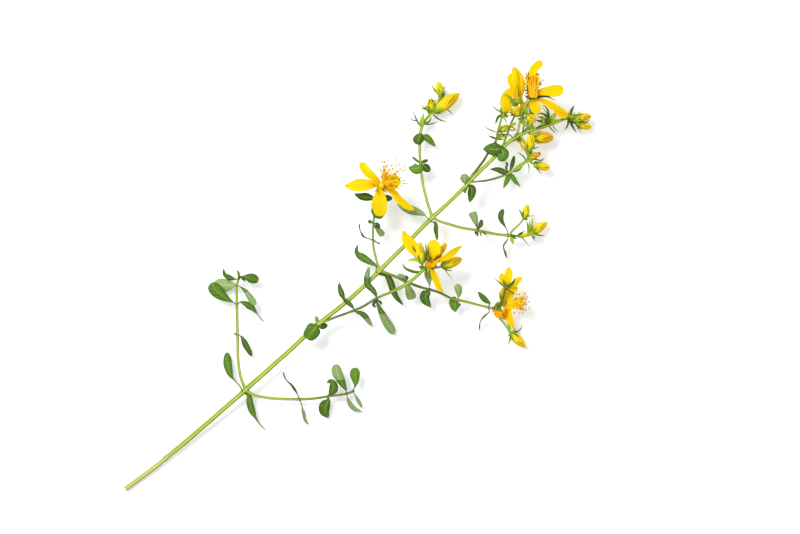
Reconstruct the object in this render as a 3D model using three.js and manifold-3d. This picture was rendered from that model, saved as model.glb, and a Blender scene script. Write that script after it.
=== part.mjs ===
// A cut sprig of common St John's wort, lying down: one straight main stem with opposite
// side branches, opposite leaf pairs, open five-petalled flowers and clusters of buds.
// Millimetres, +Z up. Every plan position is measured from the cut end of the main stem, and
// the whole sprig is then turned so that its main stem runs along +X.
import * as THREE from 'three';
import { mergeVertices } from 'three/addons/utils/BufferGeometryUtils.js';
import Module from 'manifold-3d';

const wasm = await Module();
wasm.setup();

// Driving dimensions
const TURN_DEGREES = -43; // brings the main stem of the plan to +X
const PLAN_CENTRE = [119.5, -15.1, 0]; // middle of the turned sprig, at its lowest point
const MAIN_STEM_RADII = [1, 1, 1, 0.98, 0.96, 0.9, 0.82, 0.84, 0.62]; // evenly from the cut end to the tip
const NODE_SWELLING = 0.15; // how far the old node stands out near the cut end
const OLD_NODE = [16.2, 12.6];
const BRANCH_SIDES = 6;
const BRANCH_STEPS = 12;
const PEDICEL_RADIUS = 0.38;
const SEAT_GAP = 0.15; // between a branch and the stem that carries it
const SEAT_SAMPLES = 400; // places looked at along a stem to find a seat
const BEND_SHARE = 1.4; // points of a branch within this share of its seat's depth are left out
const COLLAR_GAP = 0.2; // between a leaf pair's clasping base and its stem
const COLLAR_RADIUS = 0.28;
const LEAF_THICKNESS = 0.36;
const LEAF_NECK = 0.34; // half the width of a leaf where it leaves the stem
const PETAL_THICKNESS = 0.32;
const PETAL_NECK = 0.5;
const SEPAL_WIDTH = 1.3;
const FILAMENT_RADIUS = 0.16;

// Finishes
const finish = (color, roughness) => new THREE.MeshStandardMaterial({ color, roughness, metalness: 0 });
const STEM_GREEN = finish(0x9db63a, 0.55);
const LEAF_GREEN = finish(0x4a7a2b, 0.6);
const PETAL_YELLOW = finish(0xf6cf12, 0.5);
const STAMEN_GOLD = finish(0xf0b01c, 0.6);
const BUD_LIME = finish(0xc9cc2c, 0.5);
const SEPAL_GREEN = finish(0x6f8f2c, 0.6);

const UP = new THREE.Vector3(0, 0, 1);
const vector = (point) => (point.isVector3 ? point : new THREE.Vector3(...point));
const smoothCurve = (points) => new THREE.CatmullRomCurve3(points.map(vector), false, 'centripetal');

// A closed skin over a row of rings with equally many points, each capped at its own middle.
// The diagonals of neighbouring panels mirror each other, so a thin twisted blade doesn't cross itself.
function loft(rings) {
  const count = rings[0].length;
  const points = rings.flat();
  const triangles = [];
  for (let i = 0; i < rings.length - 1; i += 1) {
    for (let j = 0; j < count; j += 1) {
      const here = i * count + j;
      const beside = i * count + ((j + 1) % count);
      if (j % 2 === 0) {
        triangles.push(here, beside, beside + count);
        triangles.push(here, beside + count, here + count);
      } else {
        triangles.push(here, beside, here + count);
        triangles.push(beside, beside + count, here + count);
      }
    }
  }
  const capWith = (ring, first, outwardAtStart) => {
    const middle = ring.reduce((sum, p) => sum.add(p), new THREE.Vector3()).divideScalar(count);
    points.push(middle);
    for (let j = 0; j < count; j += 1) {
      const here = first + j;
      const beside = first + ((j + 1) % count);
      triangles.push(points.length - 1, ...(outwardAtStart ? [beside, here] : [here, beside]));
    }
  };
  capWith(rings[0], 0, true);
  capWith(rings[rings.length - 1], (rings.length - 1) * count, false);
  return new THREE.BufferGeometry().setFromPoints(points).setIndex(triangles);
}

// A round body along a curve, with its radius as a function of the distance along it.
function sweep(curve, radiusAt, sides, steps) {
  const frames = curve.computeFrenetFrames(steps, false);
  const rings = frames.normals.map((normal, i) => {
    const centre = curve.getPointAt(i / steps);
    const radius = radiusAt(i / steps);
    return Array.from({ length: sides }, (_, j) => {
      const angle = (2 * Math.PI * j) / sides;
      return centre
        .clone()
        .addScaledVector(normal, radius * Math.cos(angle))
        .addScaledVector(frames.binormals[i], radius * Math.sin(angle));
    });
  });
  return loft(rings);
}

// The values, evenly spaced from 0 to 1 and joined by straight lines, read at t.
function spreadOut(values, t) {
  const place = t * (values.length - 1);
  const before = Math.min(Math.floor(place), Math.max(values.length - 2, 0));
  return THREE.MathUtils.lerp(values[before], values[Math.min(before + 1, values.length - 1)], place - before);
}

// How wide a blade is along its length, from 0 to 1, widest where belly says. base says how
// slowly it widens from its foot, and tip how pointed it ends.
function bladeAt(t, belly, base, tip) {
  const rise = Math.sin((Math.PI / 2) * Math.min(t / belly, 1)) ** base;
  const fall = Math.max((t - belly) / (1 - belly), 0);
  return rise * (1 - fall * fall) ** tip;
}

// A leaf, petal or sepal: a thin blade with sharp edges along a spine, folded a little along
// its midrib and rolled about its spine by the angles in roll, evenly from its foot to its tip.
function blade({ spine, width, belly, base, tip, roll, fold, neck, thickness, steps }) {
  const curve = smoothCurve(spine);
  const rings = [];
  for (let i = 0; i <= steps; i += 1) {
    const t = i / steps;
    const centre = curve.getPointAt(t);
    const along = curve.getTangentAt(t);
    const angle = THREE.MathUtils.degToRad(spreadOut(roll, t));
    const side = along.clone().cross(UP).normalize().applyAxisAngle(along, angle);
    const normal = side.clone().cross(along);
    const half = Math.max(neck, (width / 2) * bladeAt(t, belly, base, tip));
    const point = (across, out) => centre.clone().addScaledVector(side, across).addScaledVector(normal, out);
    rings.push([
      point(0, thickness / 2),
      point(half, fold * half),
      point(0, -thickness / 2),
      point(-half, fold * half),
    ]);
  }
  return loft(rings);
}

// Joins overlapping closed geometries into one solid.
function toSolid(geometry) {
  const bare = geometry.clone();
  bare.deleteAttribute('normal');
  bare.deleteAttribute('uv');
  const merged = mergeVertices(bare, 1e-4);
  return new wasm.Manifold(
    new wasm.Mesh({
      numProp: 3,
      vertProperties: merged.attributes.position.array,
      triVerts: new Uint32Array(merged.index.array),
    }),
  );
}

function joined(geometries) {
  const solid = geometries.map(toSolid).reduce((sum, next) => sum.add(next));
  const mesh = solid.getMesh();
  const geometry = new THREE.BufferGeometry();
  geometry.setAttribute('position', new THREE.BufferAttribute(mesh.vertProperties, 3));
  geometry.setIndex(new THREE.BufferAttribute(mesh.triVerts, 1));
  geometry.computeVertexNormals();
  return geometry;
}

const sprig = new THREE.Group();
function add(name, material, ...geometries) {
  const geometry = geometries.length > 1 ? joined(geometries) : geometries[0];
  geometry.computeVertexNormals();
  const mesh = new THREE.Mesh(geometry, material);
  mesh.name = name;
  sprig.add(mesh);
}

// A stem knows its curve and how thick it is, so that leaves and branches can sit on it.
function makeStem(points, radii) {
  const curve = smoothCurve(points);
  const radiusAt = (t) => spreadOut(radii, t);
  const seatAt = (x, y) => {
    let best = { gap: Infinity };
    for (let i = 0; i <= SEAT_SAMPLES; i += 1) {
      const place = i / SEAT_SAMPLES;
      const point = curve.getPointAt(place);
      const gap = Math.hypot(point.x - x, point.y - y);
      if (gap < best.gap) {
        best = { gap, point, along: curve.getTangentAt(place), radius: radiusAt(place) };
      }
    }
    return best;
  };
  return { curve, radiusAt, seatAt };
}

// The part of a branch that lies outside the stem that carries it.
function branchFrom(parent, points, radii) {
  const whole = smoothCurve(points);
  let start = 0;
  for (let i = 0; i <= SEAT_SAMPLES / 2; i += 1) {
    const point = whole.getPointAt(i / SEAT_SAMPLES);
    const seat = parent.seatAt(point.x, point.y);
    if (point.distanceTo(seat.point) < seat.radius + radii[0] + SEAT_GAP) start = i / SEAT_SAMPLES;
  }
  const clear = whole.getPointAt(start);
  const root = vector(points[0]);
  const reach = BEND_SHARE * clear.distanceTo(root);
  const rest = points.filter((point) => vector(point).distanceTo(root) > reach);
  return makeStem([clear, ...rest], radii);
}

// Leaf shapes share these values; a leaf gives its spine beyond the stem, its width and what differs.
const leaf = (width, spine, options = {}) => ({
  spine,
  width,
  belly: 0.55,
  base: 1.3,
  tip: 0.5,
  roll: [0, 0],
  fold: 0.12,
  neck: LEAF_NECK,
  thickness: LEAF_THICKNESS,
  steps: 6,
  ...options,
});
const petal = (width, spine, options = {}) =>
  blade({
    spine,
    width,
    belly: 0.6,
    base: 0.8,
    tip: 0.45,
    roll: [0, 0],
    fold: 0.1,
    neck: PETAL_NECK,
    thickness: PETAL_THICKNESS,
    steps: 5,
    ...options,
  });
const sepal = (spine, width = SEPAL_WIDTH) =>
  blade({
    spine,
    width,
    belly: 0.4,
    base: 0.8,
    tip: 1,
    roll: [0, 0],
    fold: 0,
    neck: 0.25,
    thickness: 0.34,
    steps: 4,
  });

// Opposite leaves whose bases meet in a thin collar that clasps the stem.
function leafPair(name, stem, at, leaves) {
  const seat = stem.seatAt(...at);
  const middle = seat.radius + COLLAR_GAP + COLLAR_RADIUS;
  const toAxis = new THREE.Quaternion().setFromUnitVectors(UP, seat.along);
  const collar = new THREE.TorusGeometry(middle, COLLAR_RADIUS, 4, 9);
  collar.applyQuaternion(toAxis).translate(...seat.point);
  const blades = leaves.map((shape) => {
    const out = vector(shape.spine[0]).clone().sub(seat.point);
    out.addScaledVector(seat.along, -out.dot(seat.along)).normalize();
    const base = seat.point.clone().addScaledVector(out, middle);
    return blade({ ...shape, spine: [base, ...shape.spine] });
  });
  add(name, LEAF_GREEN, collar, ...blades);
}

// A closed bud: pointed, and fullest below its middle.
const budAt = (t) => Math.sin(Math.PI * (0.12 + 0.86 * t ** 0.8)) ** 0.75;
function bud(base, tip, radius) {
  const line = new THREE.LineCurve3(vector(base), vector(tip));
  return sweep(line, (t) => radius * budAt(t), 7, 5);
}
const pedicel = (...points) => sweep(smoothCurve(points), () => PEDICEL_RADIUS, 4, 2 * (points.length - 1));
const knob = (centre, radius) =>
  new THREE.IcosahedronGeometry(radius).translate(...centre);
const filament = (base, tip) => {
  const line = new THREE.LineCurve3(vector(base), vector(tip));
  return sweep(line, (t) => FILAMENT_RADIUS * (1 + t), 4, 1);
};

// Stems

const mainStem = makeStem(
  [
    [0.0, 0.0, 1.0], [4.8, 3.5, 1.05], [8.8, 6.4, 1.15], [12.8, 9.5, 1.3], [16.5, 12.6, 1.5],
    [20.5, 15.8, 1.8], [28.2, 22.3, 2.4], [35.8, 28.9, 3.1], [43.4, 35.5, 3.8], [50.8, 42.0, 4.4],
    [58.3, 48.7, 4.9], [65.7, 55.3, 5.4], [71.4, 60.6, 5.8], [77.2, 66.0, 6.2], [84.7, 71.8, 6.7],
    [92.2, 78.1, 7.3], [99.4, 84.9, 7.7], [106.5, 92.1, 8.1], [113.6, 99.1, 8.4], [120.5, 106.3, 8.6],
    [127.8, 113.1, 8.8], [133.4, 118.4, 8.9], [138.2, 123.4, 9.0], [142.2, 127.3, 9.0], [147.9, 133.0, 9.0],
    [151.4, 136.8, 9.0], [155.0, 139.8, 8.8], [160.2, 142.8, 8.2], [168.2, 145.2, 7.0], [175.4, 148.0, 5.9],
    [177.4, 148.6, 5.6],
  ],
  MAIN_STEM_RADII,
);
const oldNodeAt = mainStem.seatAt(...OLD_NODE).point.length() / mainStem.curve.getLength();
const mainRadiusAt = (t) => {
  const fromNode = (t - oldNodeAt) / 0.008;
  return mainStem.radiusAt(t) + NODE_SWELLING * Math.exp(-fromNode * fromNode);
};
add('main_stem', STEM_GREEN, sweep(mainStem.curve, mainRadiusAt, 8, 40));

const branchLowerLeft = branchFrom(
  mainStem,
  [
    [48.4, 39.8, 4.2], [46.9, 43.6, 4.8], [46.2, 46.2, 4.9], [45.4, 52.6, 4.6], [45.2, 61.8, 4.2],
    [44.9, 74.2, 4.0], [44.9, 81.6, 3.8], [45.4, 83.8, 3.7], [45.8, 85.8, 3.7],
  ],
  [0.58, 0.58, 0.56, 0.42],
);
const branchLowerRight = branchFrom(
  mainStem,
  [
    [48.4, 39.8, 4.2], [50.8, 38.2, 4.0], [52.2, 37.6, 3.9], [58.2, 36.5, 3.6], [66.2, 36.1, 3.4],
    [74.2, 36.2, 3.4], [81.4, 37.2, 3.4], [88.8, 38.3, 3.4], [92.0, 39.5, 3.4],
  ],
  [0.6, 0.6, 0.52, 0.46],
);
const branchToCluster = branchFrom(
  mainStem,
  [
    [77.4, 66.2, 6.2], [80.6, 67.4, 6.9], [83.0, 68.4, 7.3], [89.0, 70.6, 8.2], [95.0, 73.0, 9.3],
    [101.0, 76.6, 10.4], [107.0, 79.2, 11.2], [112.2, 81.8, 11.8], [116.2, 84.8, 12.1], [119.4, 87.8, 12.2],
    [120.6, 88.9, 12.2],
  ],
  [0.56, 0.5, 0.46, 0.5, 0.8, 0.62],
);
const branchToFlower = branchFrom(
  mainStem,
  [
    [102.2, 87.4, 7.8], [101.0, 91.0, 7.8], [100.4, 93.4, 7.8], [99.8, 95.8, 7.7], [99.5, 98.6, 7.6],
    [99.4, 103.8, 7.6], [99.7, 107.8, 7.8], [100.0, 111.0, 8.2], [100.6, 114.2, 8.8], [101.4, 118.0, 9.4],
    [101.9, 120.2, 10.0],
  ],
  [0.5, 0.45, 0.42, 0.4],
);
const branchFarRight = branchFrom(
  mainStem,
  [
    [102.2, 87.4, 7.8], [105.4, 86.4, 8.2], [108.2, 85.2, 8.3], [113.4, 82.8, 8.2], [119.0, 80.8, 7.9],
    [125.4, 79.0, 7.4], [131.0, 76.4, 6.8], [136.2, 75.2, 6.3], [144.2, 73.2, 5.9], [147.0, 72.6, 5.8],
  ],
  [0.5, 0.58, 0.54, 0.54, 0.5],
);
const branchUpperLeft = branchFrom(
  mainStem,
  [
    [123.0, 108.8, 8.7], [122.2, 111.6, 8.6], [121.4, 113.8, 8.2], [120.4, 117.8, 7.6], [119.4, 121.8, 6.8],
    [118.4, 129.8, 5.4], [118.1, 135.8, 4.6], [118.1, 139.0, 4.2], [118.4, 142.6, 3.8], [119.4, 146.2, 3.4],
    [121.0, 148.6, 3.1], [122.2, 150.0, 3.0],
  ],
  [0.54, 0.55, 0.58, 0.6, 0.64],
);
const branchUpperRight = branchFrom(
  mainStem,
  [
    [123.0, 108.8, 8.7], [126.2, 107.2, 8.4], [130.2, 106.0, 7.9], [134.2, 104.8, 7.4], [141.4, 103.6, 6.4],
    [148.2, 102.2, 5.8], [154.2, 101.6, 5.4],
  ],
  [0.52, 0.54, 0.58, 0.56],
);
const branchTopLeft = branchFrom(
  mainStem,
  [
    [137.8, 123.0, 9.0], [138.6, 125.0, 8.6], [141.4, 128.6, 7.6], [143.8, 131.8, 7.0], [145.4, 134.6, 6.8],
    [147.0, 137.0, 6.8], [148.6, 139.6, 6.8], [149.3, 143.0, 7.0], [150.5, 147.6, 7.6], [151.7, 150.8, 8.2],
  ],
  [0.5, 0.56, 0.54, 0.48, 0.46],
);
const branchTopRight = branchFrom(
  mainStem,
  [
    [137.8, 123.0, 9.0], [140.6, 123.1, 8.4], [145.0, 123.6, 7.4], [150.2, 125.0, 6.4], [153.8, 126.6, 6.2],
    [157.4, 128.8, 6.4], [160.4, 131.2, 6.8],
  ],
  [0.42, 0.4, 0.4, 0.6, 0.66],
);
const stalkTopBud = branchFrom(
  mainStem,
  [
    [151.2, 136.9, 9.0], [151.9, 139.2, 9.6], [152.8, 141.6, 10.0], [153.9, 144.4, 10.3],
    [154.7, 146.8, 10.6], [155.7, 148.9, 11.0], [156.6, 151.6, 11.6], [157.2, 154.8, 12.1],
  ],
  [0.42, 0.38, 0.38, 0.42],
);
const stalkTopFlower = branchFrom(
  mainStem,
  [
    [157.0, 141.2, 8.6], [157.4, 143.8, 9.2], [157.9, 146.4, 9.8], [158.9, 148.7, 10.4],
    [160.4, 151.4, 11.3], [162.0, 155.4, 12.2],
  ],
  [0.44, 0.42, 0.4, 0.44],
);

const branches = {
  branch_lower_left: branchLowerLeft,
  branch_lower_right: branchLowerRight,
  branch_to_cluster: branchToCluster,
  branch_to_flower: branchToFlower,
  branch_far_right: branchFarRight,
  branch_upper_left: branchUpperLeft,
  branch_upper_right: branchUpperRight,
  branch_top_left: branchTopLeft,
  branch_top_right: branchTopRight,
  stalk_top_bud: stalkTopBud,
  stalk_top_flower: stalkTopFlower,
};
for (const [name, stem] of Object.entries(branches)) {
  add(name, STEM_GREEN, sweep(stem.curve, stem.radiusAt, BRANCH_SIDES, BRANCH_STEPS));
}

// Leaves on the main stem, from the cut end upwards

leafPair('leaves_main_1', mainStem, [47.4, 38.9], [
  leaf(
    3.5,
    [
      [46.4, 41.0, 4.4], [44.9, 42.8, 4.4], [43.3, 44.6, 4.3], [42.2, 46.6, 4.0], [41.2, 50.0, 3.2],
      [40.9, 54.8, 2.0],
    ],
    { belly: 0.74, base: 2.2, tip: 0.45, roll: [78, 78, 60, 10, 0, 0, 0], steps: 10 },
  ),
  leaf(
    2.9,
    [
      [49.7, 37.6, 3.6], [50.0, 34.8, 3.3], [50.8, 31.6, 2.8], [52.1, 28.8, 2.3], [53.9, 25.9, 1.8],
      [56.4, 23.6, 1.2],
    ],
    { belly: 0.34, base: 0.7, tip: 1, roll: [0, 0, 0, 50, 72, 74], steps: 10 },
  ),
]);
leafPair('leaves_main_2', mainStem, [77.2, 66.0], [
  leaf(
    6.2,
    [[76.7, 65.3, 8.3], [76.0, 64.4, 8.9], [74.9, 62.9, 9.1], [73.0, 60.3, 8.6]],
    { belly: 0.42, base: 0.6, tip: 0.25 },
  ),
  leaf(2.4, [[78.6, 65.0, 5.8], [79.8, 65.4, 5.4], [81.2, 65.9, 5.0]]),
  leaf(1.8, [[77.0, 67.2, 6.8], [76.9, 68.4, 7.2], [76.8, 69.6, 7.2]], { tip: 1, steps: 4 }),
]);
leafPair('leaves_main_3', mainStem, [101.4, 86.6], [
  leaf(
    3.2,
    [
      [100.6, 89.4, 8.0], [98.6, 90.8, 7.6], [96.2, 92.3, 6.8], [94.0, 93.8, 5.9], [93.0, 95.4, 5.2],
      [93.4, 97.9, 4.4],
    ],
    { belly: 0.62, tip: 0.8, roll: [0, 0, 0, 10, 40, 60], steps: 10 },
  ),
  leaf(
    2.8,
    [
      [104.6, 86.0, 6.9], [105.6, 84.6, 6.6], [106.6, 82.4, 6.2], [107.4, 79.8, 5.6], [108.9, 76.6, 4.7],
      [111.5, 73.8, 3.3],
    ],
    { belly: 0.5, base: 0.4, tip: 0.8, steps: 8 },
  ),
]);
leafPair('leaves_main_4', mainStem, [122.1, 107.9], [
  leaf(
    3.8,
    [
      [120.2, 109.6, 8.6], [118.0, 110.7, 8.5], [115.1, 111.6, 8.3], [112.5, 112.7, 8.0],
      [110.3, 114.7, 7.4], [109.4, 116.5, 6.8],
    ],
    { roll: [-80, -10, 0, 0, 0, 0], steps: 10 },
  ),
  leaf(
    1.9,
    [[124.3, 106.6, 7.6], [124.6, 104.2, 7.2], [124.9, 101.8, 6.5], [125.0, 99.8, 5.9]],
    { belly: 0.45, roll: [15, 25], fold: 0.23 },
  ),
]);
leafPair('leaves_main_5', mainStem, [136.9, 122.1], [
  leaf(
    3.8,
    [[136.2, 122.6, 10.0], [136.0, 123.6, 10.6], [136.1, 124.9, 10.8], [136.4, 126.2, 10.5]],
    { belly: 0.6 },
  ),
  leaf(
    4,
    [[138.4, 120.9, 8.1], [138.9, 119.8, 7.8], [138.7, 117.8, 7.0], [138.0, 114.8, 5.8]],
    { belly: 0.35, base: 0.9, tip: 0.95, fold: 0.3 },
  ),
  leaf(1.7, [[136.8, 121.0, 8.2], [136.2, 119.8, 7.6], [136.0, 118.4, 6.8]], { steps: 4 }),
]);
leafPair('leaves_main_6', mainStem, [149.6, 135.3], [
  leaf(
    5.4,
    [[148.9, 135.6, 10.9], [147.8, 135.9, 11.2], [146.2, 136.0, 11.1], [143.2, 136.1, 10.2]],
    { belly: 0.42, base: 1, tip: 0.95 },
  ),
  leaf(
    4.4,
    [[150.4, 134.2, 10.8], [150.8, 133.2, 11.1], [150.3, 132.2, 11.0], [149.6, 131.2, 10.5]],
    { belly: 0.5, base: 1 },
  ),
]);

// Leaves on the lower left branch

leafPair('leaves_lower_left_1', branchLowerLeft, [45.2, 61.8], [
  leaf(
    3.4,
    [[46.6, 61.2, 4.0], [47.6, 59.6, 3.6], [48.9, 57.0, 2.8], [50.8, 53.2, 1.8]],
    { belly: 0.45, fold: 0.63 },
  ),
  leaf(0.8, [[44.3, 62.2, 4.2], [43.9, 62.6, 4.2]], { steps: 3 }),
]);
leafPair('leaves_lower_left_2', branchLowerLeft, [44.9, 74.2], [
  leaf(
    5.4,
    [[43.6, 74.8, 4.4], [41.4, 76.0, 4.8], [38.6, 78.0, 5.1], [36.1, 80.2, 4.8], [35.0, 82.8, 4.2]],
    { belly: 0.77, base: 1.5, tip: 0.42, steps: 8 },
  ),
  leaf(
    2.9,
    [[46.4, 74.9, 4.2], [48.4, 74.3, 4.2], [50.6, 72.8, 3.6], [52.8, 70.2, 2.6], [55.6, 67.2, 1.3]],
    { belly: 0.42, tip: 0.6, roll: [0, 0, 15, 55, -72, -64], steps: 10 },
  ),
]);
leafPair('leaves_lower_left_3', branchLowerLeft, [44.9, 81.6], [
  leaf(
    5.2,
    [[43.2, 81.6, 3.2], [40.8, 81.6, 2.4], [38.2, 82.0, 1.7], [35.8, 83.0, 1.0]],
    { belly: 0.6, base: 0.9 },
  ),
  leaf(
    2.7,
    [[46.2, 81.1, 4.2], [48.4, 79.4, 4.8], [50.2, 76.8, 5.2], [52.3, 73.7, 5.2]],
    { belly: 0.8, base: 1.2, tip: 0.42, roll: [0, 10, -30, 0, 0, 0], steps: 10 },
  ),
]);
leafPair('leaves_lower_left_4', branchLowerLeft, [45.4, 84.0], [
  leaf(
    2.2,
    [[44.2, 84.2, 4.2], [41.8, 84.8, 4.4], [40.2, 86.0, 4.2], [39.5, 88.4, 3.6]],
    { belly: 0.45, tip: 1, roll: [0, 10, 40] },
  ),
  leaf(
    4.1,
    [[46.6, 85.0, 4.2], [48.4, 84.9, 4.7], [50.9, 84.5, 4.8], [53.6, 83.5, 4.1]],
    { belly: 0.7, base: 2.2, tip: 0.4 },
  ),
  leaf(1.1, [[45.7, 86.0, 5.0], [45.1, 88.0, 5.4]], { tip: 1, steps: 3 }),
  leaf(1, [[46.2, 85.2, 5.0], [47.4, 84.2, 5.3], [48.6, 83.0, 5.2]], { tip: 1, steps: 4 }),
]);

// Leaves on the lower right branch

leafPair('leaves_lower_right_1', branchLowerRight, [69.8, 36.1], [
  leaf(
    2,
    [
      [69.4, 37.6, 4.2], [68.4, 39.8, 4.8], [67.0, 41.6, 5.2], [65.3, 43.2, 5.3], [64.2, 45.0, 5.0],
      [63.4, 47.0, 4.4],
    ],
    { belly: 0.5, roll: [60, 50, 68, 72, 72], steps: 8 },
  ),
  leaf(
    2,
    [[70.4, 34.8, 3.0], [71.2, 32.2, 2.6], [71.8, 29.8, 2.2], [72.2, 28.0, 1.8], [73.4, 25.9, 1.4]],
    { roll: [80, -80, -50, -40, -60], steps: 8 },
  ),
]);
leafPair('leaves_lower_right_2', branchLowerRight, [81.4, 37.2], [
  leaf(
    4.6,
    [[81.4, 35.6, 3.4], [80.6, 33.8, 3.3], [80.3, 31.2, 2.8], [81.5, 28.5, 1.8]],
    { belly: 0.48, base: 0.9, tip: 0.8 },
  ),
  leaf(
    3.8,
    [[82.4, 38.6, 4.2], [83.6, 40.2, 4.9], [83.4, 42.2, 5.0], [82.2, 43.2, 4.6], [80.8, 42.4, 4.2]],
    { belly: 0.4, tip: 1, steps: 8 },
  ),
]);
leafPair('leaves_lower_right_3', branchLowerRight, [88.8, 38.3], [
  leaf(
    4.3,
    [[88.5, 39.9, 4.6], [87.5, 41.8, 5.4], [86.4, 44.0, 6.1], [85.1, 46.8, 6.3], [84.4, 50.1, 5.6]],
    { belly: 0.74, base: 1.1, tip: 0.42, roll: [0, 0, 0, 25, -20, -2, 0, 0], steps: 10 },
  ),
  leaf(
    2.2,
    [[89.2, 36.6, 2.8], [90.2, 34.2, 2.2], [92.0, 32.2, 1.6], [95.4, 31.0, 1.1]],
    { belly: 0.45, tip: 1, roll: [-60, -30, -15, -30] },
  ),
]);
leafPair('leaves_lower_right_4', branchLowerRight, [91.4, 39.2], [
  leaf(
    4.1,
    [[92.0, 40.8, 4.0], [92.4, 43.0, 4.7], [92.2, 46.0, 5.1], [92.3, 48.8, 4.8]],
    { belly: 0.74, base: 1.8, tip: 0.42 },
  ),
  leaf(
    1.6,
    [[92.2, 37.8, 3.4], [93.4, 35.6, 3.0], [95.0, 32.6, 2.6]],
    { belly: 0.6, roll: [-30, -15, -15], steps: 4 },
  ),
]);

// Leaves on the branch that ends in the middle cluster

leafPair('leaves_to_cluster_1', branchToCluster, [92.0, 71.8], [
  leaf(
    2.6,
    [
      [91.4, 72.8, 9.6], [90.2, 74.2, 10.1], [88.6, 75.7, 10.2], [87.2, 78.0, 9.9], [86.2, 80.6, 9.1],
      [86.0, 82.8, 8.0],
    ],
    { belly: 0.5, base: 0.8, tip: 0.6, roll: [0, 0, 40, 62, 20, 0, 0], steps: 10 },
  ),
  leaf(
    2.4,
    [[92.8, 71.0, 8.6], [94.4, 70.6, 7.9], [96.0, 69.6, 6.9], [97.4, 67.6, 5.3], [99.3, 64.9, 3.6]],
    { belly: 0.5, base: 0.7, tip: 0.9, roll: [0, 0, 0, 20, -20, -5, -5, -5], steps: 10 },
  ),
]);
leafPair('leaves_to_cluster_2', branchToCluster, [101.0, 76.6], [
  leaf(
    2.6,
    [
      [100.5, 78.0, 11.0], [99.3, 79.9, 11.2], [97.7, 81.5, 10.9], [97.0, 83.4, 10.5], [97.1, 85.6, 9.9],
      [97.8, 88.9, 9.2],
    ],
    { belly: 0.45, base: 0.6, tip: 0.45, roll: [0, 0, 0, 0, 0, 0, 20, -15, -2, -2], steps: 10 },
  ),
  leaf(
    3.6,
    [[101.0, 75.0, 9.5], [102.0, 72.6, 8.0], [104.3, 67.8, 5.0], [106.3, 64.6, 3.0], [107.9, 62.1, 1.6]],
    { belly: 0.78, base: 0.9, tip: 0.38, roll: [0, 0, 0, 30, -10, 0, 0, 0, 0, 0], steps: 10 },
  ),
  leaf(1.3, [[100.3, 75.2, 9.8], [99.6, 74.0, 9.7], [100.6, 72.8, 9.2]], { steps: 4 }),
  leaf(1.1, [[101.6, 75.6, 10.2], [102.6, 74.6, 9.6], [102.6, 73.8, 9.0]], { steps: 4 }),
]);

// Leaves on the branch that ends in the open flower

leafPair('leaves_to_flower_1', branchToFlower, [99.4, 99.8], [
  leaf(
    1.8,
    [[98.2, 100.2, 7.6], [95.8, 101.2, 6.8], [94.4, 103.4, 5.7], [93.9, 106.3, 4.2]],
    { roll: [60, 70, 72] },
  ),
  leaf(1.3, [[100.6, 99.0, 7.2], [102.4, 98.1, 6.4]], { roll: [60, 70], steps: 3 }),
]);
leafPair('leaves_to_flower_2', branchToFlower, [99.6, 106.4], [
  leaf(2, [[98.6, 106.9, 7.8], [97.4, 107.4, 7.8]], { fold: 0.54 }),
  leaf(1.9, [[100.7, 106.4, 7.6], [101.3, 105.6, 7.2], [102.0, 104.4, 6.6]], { steps: 4 }),
  leaf(
    2.6,
    [[100.4, 105.2, 6.6], [101.8, 103.6, 5.6], [103.5, 101.5, 4.2]],
    { belly: 0.85, base: 1, tip: 0.25 },
  ),
]);
leafPair('leaves_to_flower_3', branchToFlower, [100.7, 114.6], [
  leaf(
    3.3,
    [[99.4, 116.2, 8.9], [97.4, 116.9, 8.9], [94.6, 117.2, 8.3], [91.8, 118.3, 7.4]],
    { belly: 0.5, tip: 1 },
  ),
  leaf(2.8, [[102.0, 115.4, 8.7], [104.2, 116.4, 8.6], [107.2, 116.4, 7.9]]),
  leaf(
    6,
    [[101.4, 113.4, 9.4], [101.6, 111.8, 9.8], [101.9, 110.0, 9.8], [102.4, 108.2, 9.4]],
    { belly: 0.5, base: 0.7, tip: 0.6 },
  ),
]);

// Leaves on the far right branch

leafPair('leaves_far_right_1', branchFarRight, [112.4, 83.2], [
  leaf(2, [[111.8, 84.8, 9.2], [110.4, 85.4, 9.4], [109.2, 85.8, 9.2]]),
  leaf(
    4,
    [[112.9, 82.0, 7.7], [113.6, 80.4, 6.9], [114.3, 78.4, 5.8], [115.0, 76.0, 4.8]],
    { belly: 0.85, base: 0.8, tip: 0.2 },
  ),
  leaf(1.5, [[113.0, 84.4, 8.9], [112.5, 85.0, 9.1], [111.8, 85.2, 9.1]], { steps: 4 }),
]);
leafPair('leaves_far_right_2', branchFarRight, [122.0, 80.0], [
  leaf(
    3.1,
    [[122.0, 81.6, 8.2], [121.8, 83.6, 8.6], [121.4, 86.0, 8.8], [121.2, 87.9, 8.8]],
    { belly: 0.84, tip: 0.4 },
  ),
  leaf(
    4,
    [[121.2, 78.6, 7.0], [120.4, 77.6, 6.6], [120.8, 75.6, 5.6], [122.7, 72.7, 4.0]],
    { belly: 0.35, base: 0.6, tip: 1 },
  ),
]);
leafPair('leaves_far_right_3', branchFarRight, [133.4, 75.8], [
  leaf(
    3.2,
    [[133.6, 77.4, 7.2], [133.7, 79.0, 7.8], [133.3, 80.6, 8.0], [131.9, 81.3, 7.4]],
    { belly: 0.72, base: 1.2 },
  ),
  leaf(
    5,
    [[132.4, 75.1, 5.4], [132.2, 74.3, 5.2], [132.1, 73.0, 4.6], [132.3, 70.9, 3.6]],
    { belly: 0.3, base: 0.9, tip: 1 },
  ),
]);
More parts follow.
